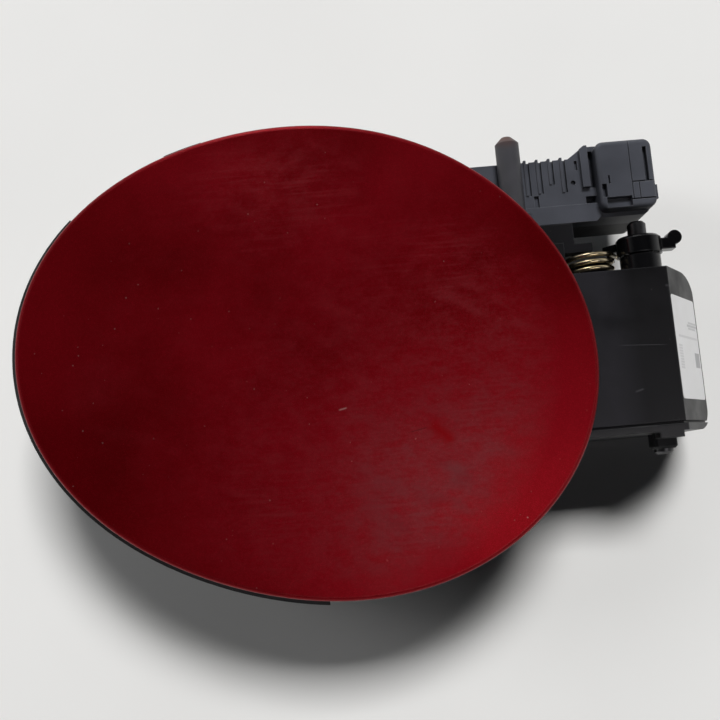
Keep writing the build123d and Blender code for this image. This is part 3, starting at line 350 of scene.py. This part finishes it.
# painted door leaf
paintLook = dict(
    plain={"Metallic": 0.8, "Coat Roughness": 0.2, "IOR": 1.5, "Specular IOR Level": 0.25},
    deep=(0.156, 0.0004, 0.0022), lively=(0.206, 0.0008, 0.0048), cloudAt=(0.3, 0.7),
    flake=(0.46, 0.006, 0.021), flakeScale=7000, flakeAt=(0.6, 1.0), flakeShare=(0.0, 0.35),
    grain=1600, cloud=18, rough=(0.34, 0.52), relief=0.25, depth=0.00001,
)
hazeLook = dict(  # film left by hands and cloths
    colour=(0.42, 0.10, 0.115), dullness=1.6,
    clearZ=(0.0608, 0.0622),  # no haze close to the rim
    rub=dict(scale=900, stretch=0.06, share=0.10, relief=-0.5),
    swirl=dict(scale=160, stretch=0.3, share=0.09, turn=(0, 0, 0.5)),
    blotch=dict(grain=900, cloud=210, stretch=(0.8, 1.2, 1), turn=(0.2, 0.1, 0)),
    blotchFilm=dict(
        cloudAt=(0.42, 0.68), cloudShare=(0.0, 0.06), grainAt=(0.45, 0.7), grainShare=(0.0, 0.05)),
    blotchGloss=dict(
        cloudAt=(0.38, 0.66), cloudShare=(0.03, 0.10), grainAt=(0.4, 0.7), grainShare=(0.0, 0.05)),
    broadGloss=dict(cloudAt=(0.35, 0.65), cloudShare=(0.0, 0.05)),
    smudge=dict(middle=(-0.1868, -0.0079, 0.0615), radius=0.020, share=0.5, cloudAt=(0.42, 0.6)),
    zones=[  # where hands have rubbed the paint
        dict(middle=(-0.1277, 0.0621, 0.0610), radius=0.030, share=0.9),
        dict(middle=(-0.0835, -0.0340, 0.0620), radius=0.085, share=1.0),
        dict(middle=(-0.0560, 0.0150, 0.0625), radius=0.040, share=0.6),
    ],
    quiet=0.22,  # share of the haze elsewhere
)
wipedLook = dict(middle=(-0.0847, -0.0205, 0.0632), half=(0.0052, 0.0027), turn=0.785,
                 strength=0.55, colour=(0.22, 0.0003, 0.0006))  # a spot without film
paintMarks = [
    dict(middle=(-0.1132, -0.0113, 0.0642), half=(0.0014, 0.00034), turn=-0.2,
         strength=0.5, colour=(0.62, 0.34, 0.32)),
    dict(middle=(-0.0916, -0.0193, 0.0635), half=(0.0034, 0.00024), turn=-0.19,
         strength=0.5, colour=(0.04, 0.002, 0.003)),
]
paintDust = dict(scale=520, amount=0.19, patch=30, share=0.36, colour=(0.42, 0.24, 0.23))
rimLook = dict(
    roll=0.0011, rimHighlight=(0.62, 0.12, 0.14), rimHighlightShare=0.4,  # painted highlight: the rolled rim is drawn paler pink
    # painted reflection: pale pink on the rim's sharp edges, patchy by the cloud noise
    edge=0.00042, edgeTone=(0.56, 0.30, 0.28), rimGlintAt=(0.35, 0.6), rimGlintShare=(0.6, 0.9),
)


def blotches(tree, blotch, look):
    cloud = ramp(tree, blotch["Cloud"], *look["cloudAt"], *look["cloudShare"])
    return total(tree, cloud, ramp(tree, blotch["Height"], *look["grainAt"], *look["grainShare"]))


def rubbed(tree, place, look):
    inputs = {"Vector": place, "Scale": look["scale"], "Stretch": look["stretch"]}
    return useGroup(tree, "rub", inputs)["Mask"]


def hazeAmount(tree, place, grain, rub, blotch):
    look = hazeLook
    swirl = rubbed(tree, stretched(tree, place, (1, 1, 1), look["swirl"]["turn"]), look["swirl"])
    smudge = ramp(tree, grain["Cloud"], *look["smudge"]["cloudAt"])
    smudge = product(tree, nearness(tree, place, look["smudge"]), smudge, look["smudge"]["share"])
    lines = product(tree, rub, look["rub"]["share"])
    lines = total(tree, lines, product(tree, swirl, look["swirl"]["share"]))
    return total(tree, lines, smudge, blotches(tree, blotch, look["blotchFilm"]))


def hazePlaces(tree, place, wiped):
    look = hazeLook
    handled = look["quiet"]
    for zone in look["zones"]:
        handled = total(tree, product(tree, nearness(tree, place, zone), zone["share"]), handled)
    clear = ramp(tree, axesOf(tree, place)["Z"], *look["clearZ"])
    return product(tree, clear, handled, math2(tree, "SUBTRACT", 1.0, wiped))


def paintBody(tree, place, grain):
    look = paintLook
    tone = ramp(tree, grain["Cloud"], *look["cloudAt"])
    body = mixColour(tree, tone, rgba(look["deep"]), rgba(look["lively"]))
    cells = addNode(tree, "ShaderNodeTexVoronoi", {"Vector": place, "Scale": look["flakeScale"]})
    glint = addNode(tree, "ShaderNodeSeparateColor", {"Color": cells.outputs["Color"]}).outputs["Green"]
    flakes = ramp(tree, glint, *look["flakeAt"], *look["flakeShare"])
    return mixColour(tree, flakes, body, rgba(look["flake"]))


def marked(tree, place, body, wiped):
    body = mixColour(tree, product(tree, wiped, wipedLook["strength"]), body, rgba(wipedLook["colour"]))
    for mark in paintMarks:
        mask = product(tree, scratchMask(tree, place, mark), mark["strength"])
        body = mixColour(tree, mask, body, rgba(mark["colour"]))
    look = paintDust
    inputs = {"Vector": place, "Scale": look["scale"], "Amount": look["amount"], "Patch": look["patch"]}
    dust = product(tree, useGroup(tree, "dust", inputs)["Mask"], look["share"])
    return mixColour(tree, dust, body, rgba(look["colour"]))


# pale pinks on the rolled rim and its sharp edges: painted highlight and painted reflection
def rimPaintedLight(tree, grain, body, rolled):
    look = rimLook
    body = mixColour(tree, product(tree, rolled["Mask"], look["rimHighlightShare"]), body, rgba(look["rimHighlight"]))
    edge = useGroup(tree, "edge", {"Radius": look["edge"]})
    edgeTone = product(tree, edge["Mask"], ramp(tree, grain["Cloud"], *look["rimGlintAt"], *look["rimGlintShare"]))
    return mixColour(tree, edgeTone, body, rgba(look["edgeTone"]))


def doorPaint():
    look, haze = paintLook, hazeLook
    material, tree, shader, place = startMaterial("doorPaint", look["plain"])
    grain = useGrain(tree, place, look)
    blotch = haze["blotch"]
    blotch = useGrain(tree, stretched(tree, place, blotch["stretch"], blotch["turn"]), blotch)
    rub = rubbed(tree, place, haze["rub"])
    rolled = useGroup(tree, "edge", {"Radius": rimLook["roll"]})
    wiped = scratchMask(tree, place, wipedLook)
    dull = hazePlaces(tree, place, wiped)
    paleShare = product(tree, hazeAmount(tree, place, grain, rub, blotch), dull)
    body = mixColour(tree, paleShare, paintBody(tree, place, grain), rgba(haze["colour"]))
    body = rimPaintedLight(tree, grain, marked(tree, place, body, wiped), rolled)
    tree.links.new(body, shader.inputs["Base Color"])
    rough = ramp(tree, grain["Cloud"], *look["cloudAt"], *look["rough"])
    rough = total(tree, rough, product(tree, paleShare, haze["dullness"]), clamp=True)
    tree.links.new(rough, shader.inputs["Roughness"])
    broad = ramp(tree, grain["Cloud"], *haze["broadGloss"]["cloudAt"], *haze["broadGloss"]["cloudShare"])
    gloss = product(tree, dull, total(tree, blotches(tree, blotch, haze["blotchGloss"]), broad))
    tree.links.new(total(tree, gloss, rolled["Mask"], clamp=True), shader.inputs["Coat Weight"])
    height = total(tree, grain["Height"], product(tree, rub, haze["rub"]["relief"]))
    bump(tree, shader, height, look, rolled["Normal"])
    return material


# metals
metalRecipe = dict(cloud=160, edge=0.0002, toneAt=(0.36, 0.66), roughAt=(0.3, 0.7), depth=0.00001,
                   rounded=True)
metalLooks = {
    "screwSteel": dict(
        colour=(0.52, 0.52, 0.50), tint=(0.40, 0.39, 0.34), rough=(0.26, 0.42), grain=900, relief=0.3),
    "pinSteel": dict(
        colour=(0.10, 0.10, 0.105), tint=(0.06, 0.06, 0.06), rough=(0.28, 0.44), grain=900, relief=0.3),
    "springWire": dict(
        colour=(0.74, 0.64, 0.44), tint=(0.58, 0.47, 0.28), rough=(0.2, 0.28), grain=2400, relief=0.05,
        rounded=False),
    "brassBlade": dict(
        colour=(0.72, 0.60, 0.34), tint=(0.56, 0.44, 0.24), rough=(0.24, 0.36), grain=900, relief=0.2),
    "motorCan": dict(
        colour=(0.55, 0.55, 0.54), tint=(0.44, 0.44, 0.43), rough=(0.26, 0.4), grain=800, relief=0.3),
}


def platedMetal(name):
    look = {**metalRecipe, **metalLooks[name]}
    material, tree, shader, place = startMaterial(name, {"Metallic": 1.0})
    grain = useGrain(tree, place, look)
    rounded = useGroup(tree, "edge", {"Radius": look["edge"]})["Normal"] if look["rounded"] else None
    tone = ramp(tree, grain["Cloud"], *look["toneAt"])
    body = mixColour(tree, tone, rgba(look["tint"]), rgba(look["colour"]))
    tree.links.new(body, shader.inputs["Base Color"])
    rough = ramp(tree, grain["Height"], *look["roughAt"], *look["rough"])
    tree.links.new(rough, shader.inputs["Roughness"])
    bump(tree, shader, grain["Height"], look, rounded)
    return material


# rubber lip and buttons
rubberLook = dict(
    sheen=0.1, colour=(0.012, 0.012, 0.012),
    bloom=(0.045, 0.045, 0.046), bloomAt=(0.4, 0.7), bloomShare=(0.0, 0.6),
    rough=(0.62, 0.8), roughAt=(0.3, 0.7), grain=1400, cloud=70, edge=0.0004, relief=0.5, depth=0.00003,
    dust=0.13, dustScale=900, dustShare=0.5, dustColour=(0.3, 0.29, 0.27),
)


def softRubber():
    look = rubberLook
    material, tree, shader, place = startMaterial("softRubber", {"Sheen Weight": look["sheen"]})
    grain = useGrain(tree, place, look)
    edge = useGroup(tree, "edge", {"Radius": look["edge"]})
    dust = useGroup(tree, "dust", {"Vector": place, "Scale": look["dustScale"], "Amount": look["dust"]})
    bloom = ramp(tree, grain["Cloud"], *look["bloomAt"], *look["bloomShare"])
    body = mixColour(tree, bloom, rgba(look["colour"]), rgba(look["bloom"]))
    body = mixColour(tree, product(tree, dust["Mask"], look["dustShare"]), body, rgba(look["dustColour"]))
    tree.links.new(body, shader.inputs["Base Color"])
    rough = ramp(tree, grain["Cloud"], *look["roughAt"], *look["rough"])
    tree.links.new(rough, shader.inputs["Roughness"])
    bump(tree, shader, grain["Height"], look, edge["Normal"])
    return material


# label paper with plain grey marks
labelLook = dict(
    paper=(0.79, 0.795, 0.81), aged=(0.71, 0.71, 0.71), agedAt=(0.35, 0.65), agedShare=(0.0, 0.4),
    ink=(0.17, 0.175, 0.19), soft=0.012, rough=(0.5, 0.62), roughAt=(0.3, 0.7),
    grain=3000, cloud=90, edge=0.0001, relief=0.2, depth=0.00001,
)
labelMarks = [  # first and last share along the label, then across it from the lid, and strength
    (0.235, 0.250, 0.62, 0.98, 0.35), (0.262, 0.280, 0.56, 0.98, 0.42), (0.292, 0.306, 0.60, 0.92, 0.35),
    (0.385, 0.402, 0.12, 0.94, 0.22), (0.540, 0.680, 0.76, 0.95, 0.60),
]
labelTicks = dict(first=0.48, last=0.72, count=9, tall=0.014, across=(0.08, 0.22), strength=0.24)


def within(tree, value, low, high, soft):
    return product(tree, ramp(tree, value, low - soft, low), ramp(tree, value, high + soft, high))


def tickMarks():
    ticks = labelTicks
    pitch = (ticks["last"] - ticks["first"]) / ticks["count"]
    starts = [ticks["first"] + i * pitch for i in range(ticks["count"])]
    return [(start, start + ticks["tall"], *ticks["across"], ticks["strength"]) for start in starts]


def labelPaper():
    look = labelLook
    material, tree, shader, place = startMaterial("labelPaper", {})
    grain = useGrain(tree, place, look)
    axes = axesOf(tree, place)
    low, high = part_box("paper_label")
    along = ramp(tree, axes["Y"], high.y, low.y)
    across = ramp(tree, axes["Z"], high.z, low.z)
    aged = ramp(tree, grain["Cloud"], *look["agedAt"], *look["agedShare"])
    paper = mixColour(tree, aged, rgba(look["paper"]), rgba(look["aged"]))
    for first, last, near, far, strength in labelMarks + tickMarks():
        row = within(tree, along, first, last, look["soft"] / 2)
        mask = product(tree, row, within(tree, across, near, far, look["soft"]), strength)
        paper = mixColour(tree, mask, paper, rgba(look["ink"]))
    tree.links.new(paper, shader.inputs["Base Color"])
    rough = ramp(tree, grain["Cloud"], *look["roughAt"], *look["rough"])
    tree.links.new(rough, shader.inputs["Roughness"])
    edge = useGroup(tree, "edge", {"Radius": look["edge"]})
    bump(tree, shader, grain["Height"], look, edge["Normal"])
    return material


materials = {name: mouldedPlastic(name) for name in plasticLooks}
materials.update({name: platedMetal(name) for name in metalLooks})
materials.update(doorPaint=doorPaint(), softRubber=softRubber(), labelPaper=labelPaper())
nodeFinish = dict(
    door_skin="doorPaint", door_carrier="armPlastic", edge_seal="softRubber", door_screws="screwSteel",
    lock_striker="armPlastic", hinge_arm="armPlastic", hinge_pin="pinSteel", pin_retainer="bracketPlastic",
    crank_collar="collarPlastic", hinge_bushes="bushAcetal", hinge_box="boxPlastic", hinge_cap="capPlastic",
    bump_stops="softRubber", paper_label="labelPaper", torsion_spring="springWire",
    actuator_bracket="bracketPlastic", bracket_screws="screwSteel", case_screws="screwSteel",
    lower_case="bracketPlastic", actuator_cover="coverPlastic", plug_terminals="brassBlade",
    drive_motor="motorCan", motor_worm="brassBlade", drive_gear="gearAcetal", gear_axle="pinSteel",
    lock_bolt="boltPlastic",
)
for node, finish in nodeFinish.items():
    for slot in nodes[node].material_slots:
        slot.material = materials[finish]
print("materials ready:", len(materials))


def finishPiece(bm, name, finish, sharp):
    bmesh.ops.recalc_face_normals(bm, faces=bm.faces)
    mesh = bpy.data.meshes.new(name)
    bm.to_mesh(mesh)
    bm.free()
    mesh.materials.append(materials[finish])
    for polygon in mesh.polygons:
        polygon.use_smooth = True
    mesh.set_sharp_from_angle(angle=math.radians(sharp))
    piece = bpy.data.objects.new(name, mesh)
    bpy.context.scene.collection.objects.link(piece)
    return piece


# flanged pan screws with a lobed socket and thread ridges, in place of the plain CAD ones, in mm
screwLook = dict(
    headR=3.2, headTall=2.2, flange=0.55, flangeRound=0.12,
    domeR=2.75, domeSteps=((0.08, 1.35), (0.35, 1.85)), domeTop=(0.8, 0.04),  # insets, with heights or a drop
    socketR=1.3, socketDeep=1.2, mouthShare=1.22, lobes=6, lobeShare=0.13,
    shankR=1.6, tipInset=0.2, threadDeep=0.28, pitch=0.9,
    crest=0.75, flanks=(0.42, 0.25),  # shares of the pitch
    steps=36, sharp=35.0,
)
screwSets = {
    "doorScrewSet": dict(node="door_screws", body="door", slot="screw_steel", headWay=(0, 0, -1)),
    "bracketScrewSet": dict(
        node="bracket_screws", body="base", slot="bracket_screw_steel", headWay=(0, 1, 0)),
    "caseScrewSet": dict(node="case_screws", body="base", slot="case_screw_steel", headWay=(0, 0, -1)),
}


def islandBoxes(node):  # lowest and highest corner of each separate solid of a node
    bm = bmesh.new()
    bm.from_mesh(nodes[node].data)
    bmesh.ops.remove_doubles(bm, verts=bm.verts, dist=weld)
    left, boxes = set(bm.verts), []
    while left:
        reach, found = [left.pop()], []
        while reach:
            vert = reach.pop()
            found.append(vert.co.copy())
            for other in [e.other_vert(vert) for e in vert.link_edges]:
                if other in left:
                    left.discard(other)
                    reach.append(other)
        boxes.append((Vector([min(c) for c in zip(*found)]), Vector([max(c) for c in zip(*found)])))
    bm.free()
    return sorted(boxes, key=lambda box: tuple(box[0]))


def screwProfile(length):  # radius and height from the tip to the socket's mouth, with the seat at 0
    s = screwLook
    root = s["shankR"] - s["threadDeep"]
    below, above = s["flanks"]
    points = [(0.0, -length), (root - s["tipInset"], -length)]
    for i in range(int(length / s["pitch"])):
        top = -length + (i + s["crest"]) * s["pitch"]
        points += [(root, top - below * s["pitch"]), (s["shankR"], top), (root, top + above * s["pitch"])]
    points += [(root, 0.0), (s["headR"], 0.0), (s["headR"], s["flange"])]
    points += [(s["domeR"], s["flange"] + s["flangeRound"])]
    points += [(s["domeR"] - inset, height) for inset, height in s["domeSteps"]]
    points += [(s["domeR"] - s["domeTop"][0], s["headTall"] - s["domeTop"][1])]
    return points + [(s["socketR"] * s["mouthShare"], s["headTall"]), (s["socketR"], s["headTall"])]


def addScrew(bm, seat, headWay, length):
    s = screwLook
    one = bmesh.new()
    verts = [one.verts.new((r * mm, 0, h * mm)) for r, h in screwProfile(length)]
    edges = [one.edges.new(pair) for pair in zip(verts, verts[1:])]
    bmesh.ops.spin(one, geom=verts + edges, cent=(0, 0, 0), axis=(0, 0, 1), angle=math.tau,
                   steps=s["steps"], use_merge=True)
    bmesh.ops.remove_doubles(one, verts=one.verts, dist=weld)
    mouth = [e for e in one.edges if e.is_boundary]
    rim = {v for e in mouth for v in e.verts}
    drawn = bmesh.ops.extrude_edge_only(one, edges=mouth)["geom"]
    sunk = [v for v in drawn if isinstance(v, bmesh.types.BMVert)]
    bmesh.ops.translate(one, verts=sunk, vec=(0, 0, -s["socketDeep"] * mm))
    for vert in rim.union(sunk):
        lobe = math.cos(s["lobes"] * math.atan2(vert.co.y, vert.co.x))
        vert.co.xy = vert.co.xy * (1 + s["lobeShare"] * lobe)
    bmesh.ops.edgeloop_fill(one, edges=[e for e in one.edges if e.is_boundary])
    turn = headWay.to_track_quat("Z", "Y").to_matrix().to_4x4()
    bmesh.ops.transform(one, matrix=Matrix.Translation(seat) @ turn, verts=one.verts)
    carry = bpy.data.meshes.new("carry")
    one.to_mesh(carry)
    one.free()
    bm.from_mesh(carry)
    bpy.data.meshes.remove(carry)


def makeScrews():
    for name, kind in screwSets.items():
        bm, headWay = bmesh.new(), Vector(kind["headWay"])
        for low, high in islandBoxes(kind["node"]):
            tall = abs((high - low).dot(headWay))
            seat = (low + high) / 2 + headWay * (tall / 2 - screwLook["headTall"] * mm)
            addScrew(bm, seat, headWay, tall / mm - screwLook["headTall"])
        piece = finishPiece(bm, name, "screwSteel", screwLook["sharp"])
        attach(piece, kind["body"])
        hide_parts(kind["node"])


# torsion spring built in place of the CAD one, in mm
springLook = dict(
    coilR=7.5, wireR=0.75, pitch=2.2, turns=2.4235, stepsPerTurn=56, sides=20,
    fixedLeg=11.0, fixedCuts=6, freeLeg=11.6, freeCuts=60,
    bendWay=(0.82, 0.0, -0.574), bendSpan=(8.3, 11.0), sharp=60.0,
)


def pullTube(bm, edges, way, cuts):  # draws a tube out from an open ring and closes its end
    for _ in range(cuts):
        drawn = bmesh.ops.extrude_edge_only(bm, edges=edges)["geom"]
        verts = {v for v in drawn if isinstance(v, bmesh.types.BMVert)}
        edges = [e for e in drawn if isinstance(e, bmesh.types.BMEdge) and verts.issuperset(e.verts)]
        bmesh.ops.translate(bm, verts=list(verts), vec=way / cuts)
    bmesh.ops.edgeloop_fill(bm, edges=edges)


def makeSpring():
    s = springLook
    low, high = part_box("torsion_spring")
    slope = s["pitch"] / (math.tau * s["coilR"])
    reach = (s["coilR"] + s["wireR"]) * mm
    middle = Vector((low.x + reach, low.y + (s["wireR"] + s["fixedLeg"] * slope) * mm, high.z - reach))
    bm = bmesh.new()
    first = Matrix.Translation(middle - Vector((s["coilR"] * mm, 0, 0)))
    ring = bmesh.ops.create_circle(bm, segments=s["sides"], radius=s["wireR"] * mm, matrix=first)["verts"]
    startEdges = bm.edges[:]
    angle, steps = math.tau * s["turns"], round(s["turns"] * s["stepsPerTurn"])
    rise = Vector((0, s["pitch"] * s["turns"] * mm / steps, 0))
    coil = bmesh.ops.spin(bm, geom=ring + startEdges, cent=middle, axis=(0, 1, 0), dvec=rise, angle=angle,
                          steps=steps)
    way = Vector((0, slope, 1)).normalized()
    endEdges = [e for e in coil["geom_last"] if isinstance(e, bmesh.types.BMEdge)]
    pullTube(bm, endEdges, Matrix.Rotation(angle, 3, "Y") @ way * (s["freeLeg"] * mm), s["freeCuts"])
    pullTube(bm, startEdges, way * (-s["fixedLeg"] * mm), s["fixedCuts"])
    spring = finishPiece(bm, "coilSpring", "springWire", s["sharp"])
    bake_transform(spring)
    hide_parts("torsion_spring")


makeScrews()
makeSpring()
print("screws and spring ready")

# floor, lamps and camera
stageLook = dict(half=3.0, squares=8, colour=(0.785, 0.79, 0.79), darker=0.97, rough=0.8, shine=0.0,
                 cloudScale=9.0, cloudDetail=3.0, cloudAt=(0.35, 0.65))


def makeFloor():
    look = stageLook
    bm = bmesh.new()
    bmesh.ops.create_grid(bm, x_segments=look["squares"], y_segments=look["squares"], size=look["half"])
    mesh = bpy.data.meshes.new("tableTop")
    bm.to_mesh(mesh)
    bm.free()
    floor = bpy.data.objects.new("tableTop", mesh)
    bpy.context.scene.collection.objects.link(floor)
    plain = {"Roughness": look["rough"], "Specular IOR Level": look["shine"]}
    material, tree, shader, place = startMaterial("tableTop", plain)
    inputs = {"Vector": place, "Scale": look["cloudScale"], "Detail": look["cloudDetail"]}
    cloud = addNode(tree, "ShaderNodeTexNoise", inputs).outputs["Fac"]
    darker = tuple(c * look["darker"] for c in look["colour"])
    tone = mixColour(tree, ramp(tree, cloud, *look["cloudAt"]), rgba(darker), rgba(look["colour"]))
    tree.links.new(tone, shader.inputs["Base Color"])
    mesh.materials.append(material)


lampLooks = {
    "keyLamp": dict(
        toward=(0.14, 0.58, 1.0), distance=8.0, size=(2.5, 1.8), power=640.0, colour=(1, 0.985, 0.965),
        seen="diffuse"),
    "leftWindow": dict(
        toward=(-1.3, 0.48, 1.0), distance=6.0, size=(2.8, 2.0), power=72.0, colour=(1, 0.99, 0.98),
        seen="diffuse"),
    "farWindow": dict(
        toward=(-0.1, 1.0, 0.62), distance=1.6, size=(0.8, 0.5), power=1.3, colour=(0.93, 0.96, 1.0),
        seen="both"),
    "edgeGlint": dict(
        toward=(-0.12, 1.0, 0.40), distance=1.6, size=(0.5, 0.4), power=4.6, colour=(1, 1, 1),
        seen="glossy"),
    "ceilingGlow": dict(
        toward=(0.36, -0.28, 1.0), distance=1.6, size=(1.0, 0.8), power=5.0, colour=(1, 0.96, 0.99),
        seen="glossy"),
}


def makeLamps(middle):
    for name, look in lampLooks.items():
        lamp = bpy.data.lights.new(name, "AREA")
        lamp.shape = "RECTANGLE"
        lamp.size, lamp.size_y = look["size"]
        lamp.energy = look["power"]
        lamp.color = look["colour"]
        holder = bpy.data.objects.new(name, lamp)
        back = Vector(look["toward"]).normalized()
        side = (Vector((1, 0, 0)) - back * back.x).normalized()
        holder.location = middle + back * look["distance"]
        holder.rotation_euler = Matrix((side, back.cross(side), back)).transposed().to_euler()
        holder.visible_glossy = look["seen"] != "diffuse"
        holder.visible_diffuse = look["seen"] != "glossy"
        bpy.context.scene.collection.objects.link(holder)


worldLook = dict(
    horizon=(0.74, 0.745, 0.76), ceiling=(0.025, 0.025, 0.028), stops=(0.12, 0.72),
    fill=(0.95, 0.97, 1.0), fillFrom=(-0.6, 0.9), fillLevel=(0.008, 0.035),  # more fill from the far side
)


def makeWorld():
    look = worldLook
    world = bpy.data.worlds.new("studioRoom")
    bpy.context.scene.world = world
    world.use_nodes = True
    tree = world.node_tree
    axes = axesOf(tree, addNode(tree, "ShaderNodeTexCoord").outputs["Generated"])
    height = ramp(tree, axes["Z"], *look["stops"])
    seen = mixColour(tree, height, rgba(look["horizon"]), rgba(look["ceiling"]))
    rays = addNode(tree, "ShaderNodeLightPath").outputs
    sight = total(tree, rays["Is Camera Ray"], rays["Is Glossy Ray"], rays["Is Transmission Ray"], clamp=True)
    level = ramp(tree, axes["Y"], *look["fillFrom"], *look["fillLevel"])
    inputs = {0: look["fill"], "Scale": level}
    fill = addNode(tree, "ShaderNodeVectorMath", inputs, operation="SCALE").outputs["Vector"]
    tree.links.new(mixColour(tree, sight, fill, seen), tree.nodes["Background"].inputs["Color"])


shotLook = dict(azimuth=-5.0, elevation=83.0, distance=0.300, lens=50.0, sensor=36.0, nearest=0.005,
                aim=(-0.10688, 0.00322, 0.06046))


def makeCamera():
    turn, lift = math.radians(shotLook["azimuth"]), math.radians(shotLook["elevation"])
    back = Vector((math.sin(turn) * math.cos(lift), -math.cos(turn) * math.cos(lift), math.sin(lift)))
    lens = bpy.data.cameras.new("shot")
    lens.lens = shotLook["lens"]
    lens.sensor_width = shotLook["sensor"]
    lens.clip_start = shotLook["nearest"]
    camera = bpy.data.objects.new("shot", lens)
    camera.location = Vector(shotLook["aim"]) + back * shotLook["distance"]
    camera.rotation_euler = back.to_track_quat("Z", "Y").to_euler()
    bpy.context.scene.collection.objects.link(camera)
    bpy.context.scene.camera = camera


makeFloor()
makeCamera()
makeLamps(Vector((shotLook["aim"][0], 0.0, 0.0)))
makeWorld()
bpy.context.scene.view_settings.view_transform = "Standard"
print("stage, lamps and camera ready")
